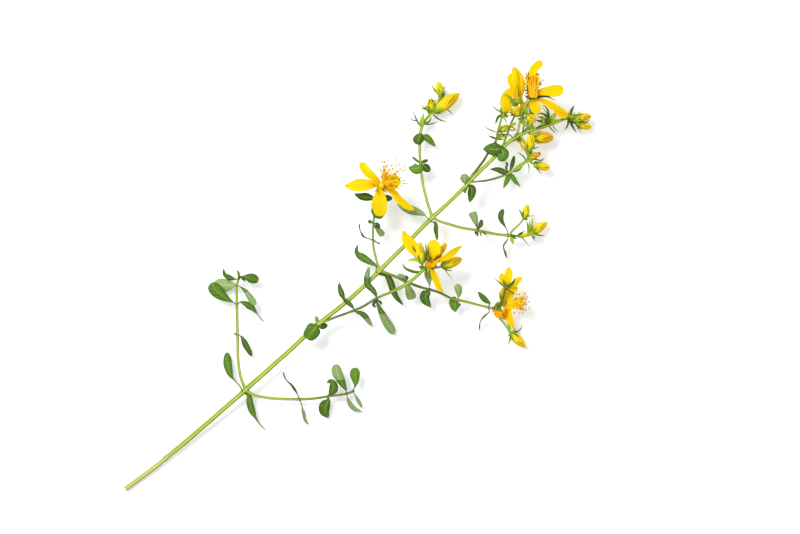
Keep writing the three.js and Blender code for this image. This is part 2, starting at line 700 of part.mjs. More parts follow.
leafPair('leaves_far_right_4', branchFarRight, [145.6, 72.9], [
  leaf(
    2.4,
    [[145.9, 74.4, 6.4], [144.6, 75.6, 6.6], [143.0, 77.2, 6.5], [141.3, 79.2, 6.0]],
    { belly: 0.5, tip: 0.8 },
  ),
  leaf(
    1.6,
    [[145.8, 71.2, 5.2], [143.9, 69.3, 4.4], [142.3, 67.0, 3.2], [142.0, 65.2, 2.4], [142.3, 63.3, 1.6]],
    { roll: [55, 70, 72], steps: 8 },
  ),
]);

// Leaves on the upper branches

leafPair('leaves_upper_left_1', branchUpperLeft, [118.4, 129.8], [
  leaf(
    4.8,
    [[118.0, 129.2, 6.7], [116.9, 128.3, 6.8], [115.2, 128.4, 6.2], [113.4, 128.9, 5.4]],
    { belly: 0.25, base: 0.5, tip: 1 },
  ),
  leaf(3.2, [[118.9, 129.8, 6.2], [120.2, 129.0, 6.4], [122.2, 127.2, 5.8]]),
  leaf(1.5, [[119.2, 130.8, 6.2], [121.4, 131.8, 6.2]], { steps: 4 }),
  leaf(1, [[117.8, 130.8, 5.8], [116.6, 131.8, 5.8], [115.0, 133.2, 5.4]], { steps: 4 }),
]);
leafPair('leaves_upper_left_2', branchUpperLeft, [118.4, 142.2], [
  leaf(
    4.4,
    [[118.2, 142.0, 4.9], [117.8, 140.8, 5.6], [117.4, 139.4, 5.8], [117.2, 137.9, 5.4]],
    { base: 0.7, tip: 0.45 },
  ),
  leaf(2.9, [[119.6, 141.6, 4.2], [121.4, 140.4, 4.1], [124.4, 137.2, 3.2]], { belly: 0.35, tip: 0.9 }),
]);
leafPair('leaves_upper_right_1', branchUpperRight, [141.2, 103.6], [
  leaf(
    3.3,
    [[140.9, 105.2, 6.8], [140.4, 107.2, 7.2], [139.6, 109.4, 7.2], [139.0, 111.0, 6.8]],
    { belly: 0.9, base: 1.1, tip: 0.2 },
  ),
  leaf(1.9, [[142.0, 105.0, 6.6], [142.6, 106.6, 6.6], [142.8, 108.0, 6.2]], { steps: 4 }),
  leaf(1, [[141.2, 102.4, 5.6], [141.1, 101.2, 5.2]], { steps: 3 }),
]);
leafPair('leaves_upper_right_2', branchUpperRight, [153.4, 101.7], [
  leaf(
    2.4,
    [
      [153.2, 103.2, 6.2], [152.2, 105.4, 6.8], [151.2, 107.4, 7.0], [150.8, 109.4, 6.8],
      [151.4, 112.2, 6.2],
    ],
    { belly: 0.78, base: 2.8, steps: 8 },
  ),
  leaf(
    1.7,
    [[153.4, 100.6, 4.8], [151.7, 97.4, 3.6], [152.3, 94.4, 2.5], [153.3, 92.1, 1.6]],
    { roll: [60, 72, 60, 70] },
  ),
]);
leafPair('leaves_top_right', branchTopRight, [153.8, 126.6], [
  leaf(
    2.4,
    [[152.6, 126.6, 6.8], [149.6, 127.8, 7.2], [146.0, 128.1, 6.8]],
    { belly: 0.32, base: 0.5, tip: 0.9 },
  ),
  leaf(1.7, [[154.5, 128.2, 6.6], [155.2, 130.6, 7.0], [155.9, 133.5, 6.8]], { steps: 4 }),
  leaf(
    2.1,
    [[153.8, 125.7, 5.8], [152.8, 123.2, 5.2], [151.5, 120.3, 4.0]],
    { belly: 0.32, base: 0.5, tip: 1 },
  ),
  leaf(
    2,
    [[154.7, 125.7, 5.8], [156.4, 123.2, 5.2], [158.5, 121.1, 4.0]],
    { belly: 0.32, base: 0.5, tip: 1 },
  ),
  leaf(1, [[153.2, 127.4, 7.2], [152.6, 128.6, 7.5], [153.0, 130.2, 7.5], [152.2, 131.0, 7.2]]),
]);

// The open flower of the middle left

add(
  'open_flower_calyx',
  SEPAL_GREEN,
  knob([102.1, 121.2, 11.0], 0.8),
  sepal([[101.6, 121.4, 11.1], [99.8, 122.2, 11.0], [97.8, 122.6, 10.6]]),
  sepal([[102.2, 120.8, 11.1], [103.2, 119.2, 10.9], [104.2, 117.6, 10.4]]),
  sepal([[102.4, 121.6, 11.1], [104.0, 122.8, 11.0], [105.8, 123.8, 10.7]]),
);
add(
  'open_flower_petals',
  PETAL_YELLOW,
  new THREE.CylinderGeometry(1.3, 1.1, 0.5, 10).rotateX(Math.PI / 2).translate(102.2, 121.4, 12.3),
  petal(
    3.7,
    [[102.2, 122.4, 12.3], [99.6, 124.6, 12.9], [97.2, 126.4, 13.1], [95.8, 128.4, 12.8], [95.3, 130.7, 11.8]],
    { belly: 0.8, base: 0.35, tip: 0.22, roll: [0, 20], steps: 7 },
  ),
  petal(
    5.1,
    [[101.7, 121.4, 12.3], [98.6, 121.6, 12.9], [95.0, 121.4, 13.0], [91.6, 121.1, 12.6], [88.1, 121.5, 11.6]],
    { belly: 0.5, tip: 0.8, steps: 7 },
  ),
  petal(
    6.2,
    [
      [102.2, 120.9, 12.3], [102.3, 117.8, 12.9], [102.4, 114.6, 13.0], [102.3, 111.8, 12.4],
      [102.2, 109.2, 11.6],
    ],
    { tip: 0.33, steps: 7 },
  ),
  petal(
    3.1,
    [
      [102.6, 121.1, 12.3], [104.8, 120.2, 12.7], [107.6, 118.8, 12.9], [109.8, 116.2, 12.7],
      [112.8, 113.5, 12.0], [115.7, 111.7, 11.4],
    ],
    { belly: 0.72, base: 0.5, roll: [0, 20], steps: 8 },
  ),
  petal(
    6.2,
    [[102.6, 121.5, 12.3], [104.8, 122.4, 12.6], [107.6, 123.0, 13.1], [110.5, 123.1, 13.6]],
    { belly: 0.55, base: 0.6 },
  ),
);
const openFlowerTuft = [
  [103.2, 130.8, 18.6], [106.9, 129.2, 19.8], [108.8, 131.6, 18.4], [112.2, 129.2, 17.6], [111.4, 127.3, 18.6],
  [112.9, 122.1, 17.4], [106.4, 125.6, 20.4],
];
add(
  'open_flower_stamens',
  STAMEN_GOLD,
  knob([102.4, 121.6, 13.9], 1.0),
  ...openFlowerTuft.map((tip) => filament([102.5, 121.7, 14.0], tip)),
);

// The middle cluster: four petals of a tired flower, and buds around them

add(
  'cluster_petals',
  PETAL_YELLOW,
  knob([121.9, 90.8, 13.9], 1.2),
  petal(
    5.0,
    [
      [121.2, 91.0, 13.6], [117.4, 94.2, 12.3], [114.6, 97.2, 12.1], [112.7, 100.2, 12.0],
      [111.7, 103.4, 11.6],
    ],
    { tip: 0.85, steps: 7 },
  ),
  petal(
    5.4,
    [[122.4, 91.0, 13.9], [123.1, 93.4, 14.8], [123.5, 96.4, 15.3], [123.7, 99.7, 14.8]],
    { belly: 0.62, base: 0.7, tip: 0.32 },
  ),
  petal(
    2.9,
    [[122.6, 90.8, 14.0], [126.4, 91.9, 14.6], [130.6, 94.6, 14.7], [135.2, 97.6, 13.6]],
    { roll: [0, 30], base: 0.9, tip: 0.95 },
  ),
  petal(
    2.9,
    [[122.2, 90.4, 14.0], [123.2, 87.4, 13.6], [125.0, 83.4, 12.4], [125.7, 81.0, 11.6], [127.5, 79.0, 11.0]],
    { roll: [0, 30], tip: 0.8, steps: 7 },
  ),
);
add(
  'cluster_buds',
  BUD_LIME,
  pedicel([121.6, 90.2, 11.6], [120.0, 90.4, 11.8], [118.9, 90.2, 13.2], [118.8, 90.8, 14.6]),
  bud([118.9, 90.6, 14.5], [117.7, 98.8, 15.0], 1.8),
  pedicel([121.6, 90.2, 11.6], [124.2, 89.1, 11.3], [127.2, 89.5, 11.0]),
  bud([126.9, 89.4, 11.0], [134.9, 92.3, 10.2], 2.05),
  pedicel([121.6, 90.2, 11.6], [123.4, 91.6, 11.9], [125.2, 93.1, 12.0]),
  bud([125.0, 92.8, 12.0], [128.5, 98.4, 12.0], 1.3),
  sepal([[119.6, 90.4, 12.0], [117.0, 88.4, 11.6], [113.6, 88.0, 11.4], [111.0, 91.0, 11.4]]),
  sepal([[127.4, 89.0, 10.9], [129.4, 87.7, 10.8], [131.4, 86.0, 10.6]]),
);

// The cluster at the end of the far right branch

add(
  'right_upper_flower',
  PETAL_YELLOW,
  pedicel(
    [147.7, 73.5, 6.7], [149.0, 73.5, 7.0], [150.4, 74.4, 7.5], [151.1, 76.4, 8.2], [151.9, 78.8, 8.8],
    [152.6, 80.8, 9.2],
  ),
  petal(3.5, [[152.6, 80.6, 9.2], [153.0, 83.4, 9.5], [153.4, 86.2, 9.2], [153.8, 89.0, 8.4]], { tip: 0.75 }),
  petal(3.0, [[152.4, 80.7, 9.1], [151.4, 82.4, 9.0], [151.0, 84.2, 8.6], [150.6, 86.4, 8.0]], { tip: 0.4 }),
  petal(2.6, [[152.6, 80.6, 9.1], [155.0, 81.8, 8.8], [156.8, 83.4, 8.4], [158.8, 84.8, 7.8]]),
  petal(3.3, [[152.6, 80.5, 9.0], [154.6, 80.6, 8.4], [156.0, 80.4, 7.9], [157.2, 80.6, 7.6]], { tip: 0.4 }),
);
add(
  'right_flower_petals',
  PETAL_YELLOW,
  pedicel([147.9, 72.4, 5.6], [149.6, 73.0, 5.8], [151.6, 74.2, 6.0], [152.6, 74.6, 6.0]),
  knob([152.5, 74.6, 6.0], 1.0),
  petal(3.8, [[152.6, 75.0, 6.0], [152.9, 76.4, 6.2], [153.8, 78.0, 6.3], [154.8, 80.2, 6.0]], { base: 0.4 }),
  petal(
    3.3,
    [[152.6, 74.2, 6.0], [153.2, 71.8, 6.0], [154.0, 68.6, 5.6], [155.9, 64.2, 5.2]],
    { belly: 0.4, base: 0.35, tip: 0.7 },
  ),
  petal(
    3.4,
    [[152.3, 74.0, 6.2], [152.3, 71.6, 6.6], [151.4, 70.0, 6.8], [149.9, 70.2, 6.8], [148.4, 71.2, 6.4]],
    { tip: 0.6, steps: 8 },
  ),
);
const rightFlowerTuft = [
  [160.0, 78.4, 6.2], [161.6, 76.0, 7.6], [162.0, 74.0, 5.8], [161.8, 72.4, 7.0], [159.2, 70.9, 5.6],
  [160.4, 74.6, 8.8],
];
add(
  'right_flower_stamens',
  STAMEN_GOLD,
  knob([154.2, 74.5, 6.2], 0.55),
  ...rightFlowerTuft.map((tip) => filament([154.2, 74.5, 6.2], tip)),
);
add(
  'right_lower_bud',
  BUD_LIME,
  pedicel([147.6, 71.6, 5.2], [148.6, 70.4, 4.8], [150.2, 68.4, 4.2], [152.6, 65.4, 3.6], [154.8, 62.5, 3.0]),
  bud([154.6, 62.7, 3.0], [160.6, 56.6, 2.5], 1.85),
  sepal([[154.6, 63.0, 3.2], [154.4, 65.2, 3.4], [153.3, 67.6, 3.6]]),
  sepal([[155.4, 63.0, 3.2], [157.6, 63.6, 3.4], [159.0, 65.8, 3.4]]),
);

// The buds at the ends of the upper branches

add(
  'upper_left_buds',
  BUD_LIME,
  knob([123.4, 151.2, 3.2], 0.9),
  bud([122.8, 151.6, 3.4], [122.4, 156.4, 3.7], 1.6),
  pedicel([123.6, 151.4, 3.3], [125.2, 154.4, 3.2], [126.5, 157.9, 2.9]),
  bud([126.5, 157.6, 2.9], [125.5, 163.2, 2.7], 1.6),
  bud([123.9, 151.3, 3.4], [134.2, 158.6, 3.3], 2.6),
  sepal([[123.4, 150.9, 3.4], [126.2, 148.4, 3.4], [129.3, 147.1, 3.2]]),
);
add(
  'upper_right_buds',
  BUD_LIME,
  knob([155.4, 102.2, 5.6], 0.8),
  pedicel([154.9, 102.5, 5.7], [157.0, 105.2, 5.9], [158.6, 106.9, 5.9], [159.9, 108.7, 5.6]),
  bud([159.8, 108.4, 5.6], [161.3, 114.0, 4.9], 1.5),
  pedicel([155.0, 101.5, 5.4], [157.0, 101.2, 5.2], [159.4, 101.2, 4.6], [162.6, 102.6, 3.8]),
  bud([162.2, 102.3, 3.9], [169.4, 107.0, 2.6], 1.8),
  bud([157.8, 101.2, 5.6], [163.4, 102.3, 5.2], 0.9),
  sepal([[162.4, 102.2, 3.6], [165.2, 101.6, 3.8], [168.4, 101.5, 4.0]]),
);
add(
  'top_right_buds',
  BUD_LIME,
  knob([161.5, 132.0, 7.2], 0.7),
  pedicel([161.5, 132.2, 7.2], [161.4, 134.0, 8.2], [161.7, 136.0, 9.0]),
  bud([161.7, 135.4, 9.0], [162.7, 141.7, 9.4], 1.7),
  bud([161.8, 132.6, 7.3], [166.2, 134.3, 7.6], 1.35),
  pedicel([161.6, 131.8, 7.1], [163.0, 130.4, 6.6], [164.4, 129.8, 6.2]),
  bud([164.0, 129.9, 6.3], [170.0, 128.5, 5.0], 1.6),
  sepal([[161.4, 131.6, 7.0], [161.9, 129.0, 6.6], [161.6, 126.6, 6.0]]),
);
add(
  'top_left_bud',
  BUD_LIME,
  pedicel([150.8, 144.5, 7.2], [150.9, 143.9, 7.2], [151.5, 143.8, 7.2]),
  bud([151.0, 143.6, 7.2], [153.8, 145.5, 7.6], 1.2),
);

// The flowers and buds at the top of the main stem

add(
  'top_bud',
  PETAL_YELLOW,
  bud([157.2, 155.4, 12.4], [156.2, 168.6, 12.4], 1.9),
  petal(
    5.0,
    [[157.2, 156.2, 12.6], [157.6, 158.8, 13.2], [157.7, 163.4, 13.6], [155.9, 169.6, 12.2]],
    { base: 0.6, tip: 0.75 },
  ),
  petal(
    4.7,
    [[156.8, 157.4, 12.4], [155.6, 160.8, 12.8], [155.3, 163.6, 12.8], [155.2, 166.8, 12.2]],
    { belly: 0.7, base: 1.6, tip: 0.4 },
  ),
  petal(
    4.0,
    [[157.0, 157.4, 12.4], [154.8, 158.2, 12.4], [152.6, 156.2, 11.8], [151.8, 153.2, 11.2], [152.4, 150.8, 10.8]],
    { belly: 0.45, tip: 0.6, steps: 8 },
  ),
  petal(1.4, [[157.8, 156.4, 12.3], [158.7, 155.2, 12.0], [159.0, 153.2, 11.6], [158.8, 150.2, 11.2]]),
);
add(
  'top_flower_petals',
  PETAL_YELLOW,
  new THREE.CylinderGeometry(1.3, 1.0, 0.6, 10).rotateX(Math.PI / 2).translate(162.6, 157.0, 13.3),
  petal(
    3.5,
    [
      [162.6, 157.6, 13.4], [162.5, 161.0, 14.0], [162.5, 165.0, 14.4], [163.8, 168.4, 14.2],
      [167.2, 171.3, 12.8],
    ],
    { belly: 0.8, base: 0.9, tip: 0.34, steps: 8 },
  ),
  petal(
    4.7,
    [[163.2, 157.8, 13.4], [166.4, 158.9, 13.9], [170.2, 159.5, 13.9], [175.6, 160.2, 12.8]],
    { belly: 0.78, base: 0.7, tip: 0.34 },
  ),
  petal(
    2.9,
    [[163.4, 156.4, 13.4], [168.0, 154.8, 13.6], [172.4, 152.4, 12.9], [177.2, 149.6, 11.6]],
    { base: 0.6, tip: 0.6, roll: [0, 30] },
  ),
  petal(
    4.2,
    [[162.8, 156.4, 13.4], [163.4, 154.2, 13.6], [164.3, 152.4, 13.5], [165.4, 150.0, 12.8]],
    { base: 0.6, tip: 0.6 },
  ),
);
const topFlowerTuft = [
  [161.0, 165.8, 16.6], [163.2, 166.4, 18.2], [165.2, 165.2, 17.8], [166.4, 162.4, 17.4], [160.4, 162.0, 17.6],
  [164.0, 162.6, 19.6],
];
add(
  'top_flower_stamens',
  STAMEN_GOLD,
  knob([162.7, 157.3, 14.8], 0.9),
  ...topFlowerTuft.map((tip) => filament([162.7, 157.4, 14.9], tip)),
);
add(
  'top_small_buds',
  BUD_LIME,
  bud([157.2, 149.3, 13.3], [156.2, 152.9, 15.0], 1.6),
  pedicel([157.6, 149.8, 13.2], [159.9, 149.2, 11.9], [161.6, 148.8, 10.9]),
  bud([161.2, 148.9, 10.6], [164.2, 147.4, 12.2], 1.8),
);
add(
  'top_orange_bud',
  BUD_LIME,
  pedicel([161.8, 142.0, 7.0], [162.2, 141.4, 5.9], [163.4, 140.9, 5.2]),
  bud([163.0, 140.9, 5.2], [171.5, 140.6, 4.6], 2.3),
);
add(
  'terminal_buds',
  BUD_LIME,
  knob([178.8, 148.4, 5.2], 0.8),
  pedicel([178.8, 148.5, 5.2], [179.8, 148.9, 5.0], [180.8, 149.0, 4.9]),
  bud([180.2, 148.9, 4.9], [186.8, 149.2, 4.4], 1.65),
  pedicel([178.8, 148.3, 5.0], [180.0, 147.4, 4.2], [181.4, 146.5, 3.5]),
  bud([180.9, 146.6, 3.7], [186.8, 144.8, 2.8], 1.6),
  sepal([[178.8, 148.8, 5.3], [178.9, 151.4, 5.6], [179.9, 153.7, 5.6]]),
  sepal([[179.0, 147.8, 4.9], [179.4, 145.2, 4.6], [180.9, 142.6, 4.4]]),
);

// The sprig is turned to its own frame, centred on its footprint
const part = new THREE.Group();
sprig.rotation.z = THREE.MathUtils.degToRad(TURN_DEGREES);
sprig.position.set(-PLAN_CENTRE[0], -PLAN_CENTRE[1], -PLAN_CENTRE[2]);
part.add(sprig);

export default part;
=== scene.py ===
"""A cut sprig of common St John's wort lying on a pale floor, seen from straight above.

The plan of the sprig is in millimetres from the cut end of its main stem, as in the solid
model. Every mesh is made in that plan, and TO_FRAME takes it to the shared frame in metres.
"""
import math
import random

import bpy
import numpy as np
from mathutils import Matrix, Vector


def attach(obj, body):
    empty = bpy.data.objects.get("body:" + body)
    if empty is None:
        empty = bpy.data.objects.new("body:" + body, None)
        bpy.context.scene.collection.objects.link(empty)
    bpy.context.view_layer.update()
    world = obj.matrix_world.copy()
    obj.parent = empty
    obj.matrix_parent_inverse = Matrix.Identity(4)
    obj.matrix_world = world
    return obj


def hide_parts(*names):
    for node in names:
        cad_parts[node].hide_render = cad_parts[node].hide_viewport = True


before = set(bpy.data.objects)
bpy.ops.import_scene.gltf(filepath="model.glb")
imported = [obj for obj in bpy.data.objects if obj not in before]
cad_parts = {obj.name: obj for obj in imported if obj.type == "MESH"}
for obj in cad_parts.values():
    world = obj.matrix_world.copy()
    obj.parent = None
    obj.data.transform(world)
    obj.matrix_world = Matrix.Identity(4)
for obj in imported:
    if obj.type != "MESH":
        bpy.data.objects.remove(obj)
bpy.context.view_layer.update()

# The frame
MM = 0.001
TURN = math.radians(-43)
PLAN_CENTRE = (119.5, -15.1, 0.0)
UP = np.array((0.0, 0.0, 1.0))
TO_FRAME = (
    Matrix.Scale(MM, 4)
    @ Matrix.Translation(-Vector(PLAN_CENTRE))
    @ Matrix.Rotation(TURN, 4, "Z")
)

# Stems: sizes in millimetres, NODE_SWELLING and RIDGE as shares of the radius, RIDGE_TURN as a
# share of a turn and RIDGE_SPREAD as the sine of the angle from the ridge
PEDICEL_RADIUS = 0.38
NODE_SWELLING = 0.16
NODE_REACH = 0.9
SCAR_HEIGHT = 0.07
SCAR_REACH = 0.28
FOOT_WIDENING = 0.2
FOOT_REACH = 1.6
RIDGE = 0.13
RIDGE_TURN = 0.22
RIDGE_SPREAD = 0.24
NODE_RING = 0.13

# Leaves, petals and sepals: thicknesses, waves and reliefs in millimetres, LEAST_BEND in radians,
# LEAF_VEINS as a number of veins, and the rest as shares of a blade's length or half width
LEAF_THICKNESS = 0.26
LEAF_WAVE = 0.14
LEAF_VEINS = 7
VEIN_SWEEP = 0.24
VEIN_BEND = 0.8
VEIN_SPREAD = 0.11
VEIN_RELIEF = (0.05, 0.07)
MIDRIB_SPREAD = 0.12
MIDRIB_RELIEF = (0.09, 0.2)
PETAL_THICKNESS = 0.2
NERVE_RELIEF = 0.08
TEETH_START = 0.62
SEPAL_THICKNESS = 0.2
EDGE_SWAY = 0.025
LEAST_BEND = 0.02
TURN_SLANT = 0.05

# Stamens and buds: sizes in millimetres, BUD_TWIST as a share of a turn, BUD_BELLY of the length
FILAMENT_RADIUS = 0.15
STYLE_RADIUS = 0.1
ANTHER_LENGTH = 0.6
BUD_SEAMS = 4
BUD_TWIST = 0.22
BUD_BELLY = 0.45

SHARP_EDGE = math.radians(62)


# Curves and meshes

def unit(vectors):
    vectors = np.asarray(vectors, float)
    return vectors / np.maximum(np.linalg.norm(vectors, axis=-1, keepdims=True), 1e-9)


def spread_out(values, t):
    """The values, evenly spaced from 0 to 1 and joined by straight lines, read at t."""
    return np.interp(t, np.linspace(0, 1, len(values)), values)


def hill(distance, reach):
    """1 at no distance, falling smoothly to almost 0 at twice the reach."""
    return np.exp(-((distance / reach) ** 2))


class Curve:
    """A smooth curve through its points, walked by its share of length from 0 to 1."""

    STEPS = 20

    def __init__(self, points):
        points = np.array(points, float)
        points = np.vstack([2 * points[0] - points[1], points, 2 * points[-1] - points[-2]])
        pieces = [self.piece(points[i:i + 4]) for i in range(len(points) - 3)]
        self.points = np.vstack([*pieces, points[-2:-1]])
        steps = np.linalg.norm(np.diff(self.points, axis=0), axis=1)
        self.walked = np.concatenate([[0], np.cumsum(steps)])
        self.length = self.walked[-1]

    def piece(self, p):
        """The stretch between the two middle points of four."""
        k = np.concatenate([[0], np.cumsum(np.linalg.norm(np.diff(p, axis=0), axis=1) ** 0.5)])
        t = np.linspace(k[1], k[2], self.STEPS, endpoint=False)[:, None]

        def between(a, b, low, high):
            return ((high - t) * a + (t - low) * b) / (high - low)

        first = between(p[0], p[1], k[0], k[1])
        second = between(p[1], p[2], k[1], k[2])
        third = between(p[2], p[3], k[2], k[3])
        early = between(first, second, k[0], k[2])
        late = between(second, third, k[1], k[3])
        return between(early, late, k[1], k[2])

    def at(self, t):
        want = np.asarray(t, float) * self.length
        return np.stack([np.interp(want, self.walked, self.points[:, k]) for k in range(3)], axis=-1)

    def along(self, t):
        t = np.asarray(t, float)
        return unit(self.at(np.minimum(t + 0.01, 1)) - self.at(np.maximum(t - 0.01, 0)))

    def gaps(self, x, y):
        """How far each of its points is from x, y in plan."""
        return np.hypot(self.points[:, 0] - x, self.points[:, 1] - y)

    def nearest(self, x, y):
        """The share of length at the place nearest to x, y in plan."""
        return self.walked[int(np.argmin(self.gaps(x, y)))] / self.length


def carried_directions(curve, places):
    """Two directions across the curve at each place, carried along it without twisting."""
    tangents = curve.along(places)
    start = np.cross(tangents[0], UP)
    side = unit(start if np.linalg.norm(start) > 0.1 else np.cross(tangents[0], (1.0, 0.0, 0.0)))
    sides = []
    for tangent in tangents:
        side = unit(side - tangent * np.dot(side, tangent))
        sides.append(side)
    sides = np.array(sides)
    return sides, np.cross(sides, tangents)


class Piece:
    """Collects closed meshes and turns them into one Blender object in the shared frame."""

    def __init__(self, node):
        self.node = node
        self.verts = []
        self.faces = []
        self.uvs = []
        self.finishes = []
        self.tones = []
        self.count = 0

    def add(self, verts, faces, uvs, finish=0, tone=0.5):
        """uvs holds the corners of each face; finish is one number, or one for each face."""
        self.verts.append(np.asarray(verts, float))
        self.faces.extend(tuple(i + self.count for i in face) for face in faces)
        self.uvs.extend(uvs)
        self.finishes.extend(finish if hasattr(finish, "__len__") else [finish] * len(faces))
        self.tones.append(np.full(len(verts), tone, float))
        self.count += len(verts)

    def build(self, finishes):
        name = "fine_" + self.node
        mesh = bpy.data.meshes.new(name)
        mesh.from_pydata(np.vstack(self.verts), [], self.faces)
        layer = mesh.uv_layers.new(name="UVMap")
        corners = np.array([corner for face in self.uvs for corner in face], np.float32)
        layer.uv.foreach_set("vector", corners.ravel())
        mesh.polygons.foreach_set("material_index", self.finishes)
        mesh.polygons.foreach_set("use_smooth", [True] * len(self.faces))
        tone = mesh.attributes.new("tone", "FLOAT", "POINT")
        tone.data.foreach_set("value", np.concatenate(self.tones).astype(np.float32))
        mesh.transform(TO_FRAME)
        mesh.update()
        mesh.set_sharp_from_angle(angle=SHARP_EDGE)
        for finish in finishes:
            mesh.materials.append(finish)
        piece = bpy.data.objects.new(name, mesh)
        bpy.context.scene.collection.objects.link(piece)
        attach(piece, "root")
        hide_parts(self.node)


def sweep(piece, curve, radius, sides, rings, finish=0, cap_finish=None, tone=0.5, uv_length=1.0, crowd=1.0):
    """A round body along a curve. radius(t, angle) gives its size, and tone may be a function of t.

    crowd above 1 sets the rings closer together towards the end.
    """
    places = 1 - (1 - np.linspace(0, 1, rings + 1)) ** crowd
    angles = np.arange(sides) * 2 * math.pi / sides
    side, up = carried_directions(curve, places)
    size = radius(places[:, None], angles[None, :]) * np.ones((rings + 1, sides))
    around = np.cos(angles)[None, :, None] * side[:, None] + np.sin(angles)[None, :, None] * up[:, None]
    centres = curve.at(places)
    verts = np.vstack([(centres[:, None] + size[..., None] * around).reshape(-1, 3), centres[[0, -1]]])
    faces, uvs = [], []
    for i in range(rings):
        low, high = places[i] * uv_length, places[i + 1] * uv_length
        for j in range(sides):
            k = (j + 1) % sides
            faces.append((i * sides + j, i * sides + k, (i + 1) * sides + k, (i + 1) * sides + j))
            left, right = j / sides, (j + 1) / sides
            uvs.append(((left, low), (right, low), (right, high), (left, high)))
    finishes = [finish] * len(faces)
    rim = 0.5 + 0.5 * np.stack([np.cos(angles), np.sin(angles)], axis=1)
    for ring_number, middle in ((0, len(verts) - 2), (rings, len(verts) - 1)):
        for j in range(sides):
            pair = (j, (j + 1) % sides) if ring_number else ((j + 1) % sides, j)
            faces.append((middle, *(ring_number * sides + n for n in pair)))
            uvs.append(((0.5, 0.5), *(tuple(rim[n]) for n in pair)))
            finishes.append(finish if cap_finish is None else cap_finish)
    shade = tone(places) if callable(tone) else np.full(rings + 1, tone)
    piece.add(verts, faces, uvs, finishes, np.concatenate([np.repeat(shade, sides), shade[[0, -1]]]))


def ring(piece, curve, t, radius, thickness, tone, around=26, sides=7):
    """A thin closed ring round a curve."""
    centre = curve.at(t)
    axis = curve.along(t)
    side = unit(np.cross(axis, UP))
    up = np.cross(side, axis)
    verts = []
    for n in range(around):
        turn = 2 * math.pi * n / around
        out = side * math.cos(turn) + up * math.sin(turn)
        for m in range(sides):
            small = 2 * math.pi * m / sides
            reach = radius + thickness * math.cos(small)
            verts.append(centre + out * reach + axis * thickness * math.sin(small))
    faces, uvs = [], []
    for n in range(around):
        for m in range(sides):
            corners = ((n, m), (n + 1, m), (n + 1, m + 1), (n, m + 1))
            faces.append(tuple(a % around * sides + b % sides for a, b in corners))
            uvs.append(tuple((b / sides, a / around) for a, b in corners))
    piece.add(verts, faces, uvs, 0, tone)


def blade_share(t, belly, base, tip):
    """How wide a blade is along its length, from 0 to 1, widest where belly says.

    base says how slowly it widens from its foot, and tip how pointed it ends.
    """
    rise = np.sin(math.pi / 2 * np.clip(t / belly, 0, 1)) ** base
    fall = np.clip((t - belly) / (1 - belly), 0, 1)
    return rise * (1 - fall ** 2) ** tip


def side_veins(across, t, veins):
    """How near a place on a blade is to a side vein, from 0 to 1. The veins sweep forwards."""
    phase = t * veins - VEIN_SWEEP * veins * np.abs(across) ** VEIN_BEND
    return hill(np.abs(phase - np.round(phase)), VEIN_SPREAD)


def blade_sides(middle, t, s, thickness, midrib, veins, nerves):
    """The heights of a blade's upper and under side: it thins out to its margins and its tip."""
    full = np.sqrt(np.clip(1 - s ** 2, 0, 1)) * (1 - 0.6 * t ** 3)
    rib = hill(s, MIDRIB_SPREAD) * (1 - t) ** 0.5 * midrib
    upper = middle + thickness / 2 * full - MIDRIB_RELIEF[0] * rib
    under = middle - thickness / 2 * full - MIDRIB_RELIEF[1] * rib
    if veins:
        relief = side_veins(s, t, veins) * (1 - s ** 2)
        upper = upper - VEIN_RELIEF[0] * relief
        under = under - VEIN_RELIEF[1] * relief
    if nerves:
        relief = np.cos(s * math.pi * nerves) * (1 - s ** 2) * NERVE_RELIEF
        upper = upper + relief
        under = under + relief
    under[:, [0, -1]] = upper[:, [0, -1]]
    return upper, under


def blade(
    piece, spine, width, belly=0.55, base=1.3, tip=0.5, roll=(0,), curl=0.4, neck=0.2,
    thickness=LEAF_THICKNESS, along=40, across=14, wave=0.0, waves=2.0, veins=0, nerves=0,
    skew=0.0, teeth=0.0, midrib=1.0, turned=2.0, finish=(0, 1), tone=0.5, seed=0,
):
    """A leaf, petal or sepal: a thin closed blade along a spine.

    roll lists how far it is turned about its spine, in degrees, evenly from its foot to its tip.
    curl is how far its margins bend down towards the floor, in radians. Beyond the share of its
    length in turned, it shows its under side upwards.
    """
    phase = random.Random(seed).uniform(0, 6.28)
    curve = Curve(spine)
    rows = 0.5 - 0.5 * np.cos(math.pi * np.linspace(0, 1, along + 1) ** 0.9)
    columns = np.linspace(-1, 1, across + 1)
    t, s = np.meshgrid(rows, columns, indexing="ij")
    half = np.maximum(neck * (1 - t) ** 0.5, width / 2 * blade_share(t, belly, base, tip))
    half = half * (1 + skew * s * np.sin(math.pi * t))
    half = half * (1 + EDGE_SWAY * np.sin(9 * t + phase + 2 * s))
    if teeth:
        notch = np.clip((t - TEETH_START) / 0.3, 0, 1) * np.clip(s, 0, 1)
        half = half * (1 - teeth * notch * (0.5 + 0.5 * np.sin(38 * t + phase)))
    tangents = curve.along(rows)
    flat = unit(np.cross(tangents, UP))
    angle = np.radians(spread_out(roll, rows))[:, None]
    side = flat * np.cos(angle) + np.cross(tangents, flat) * np.sin(angle)
    normal = np.cross(side, tangents)
    bend = curl * np.cos(angle)
    bend = np.where(np.abs(bend) < LEAST_BEND, LEAST_BEND, bend)
    x = half * np.sin(bend * s) / bend
    z = -half * (1 - np.cos(bend * s)) / bend
    z = z + wave * s ** 2 * np.sin(2 * math.pi * waves * t + phase + np.sign(s) * 0.8)
    upper, under = blade_sides(z, t, s, thickness, midrib, veins, nerves)
    level = curve.at(rows)[:, None] + x[..., None] * side[:, None]
    top = level + upper[..., None] * normal[:, None]
    low = level + under[..., None] * normal[:, None]
    add_blade_mesh(piece, top, low, rows, columns, turned, finish, tone)


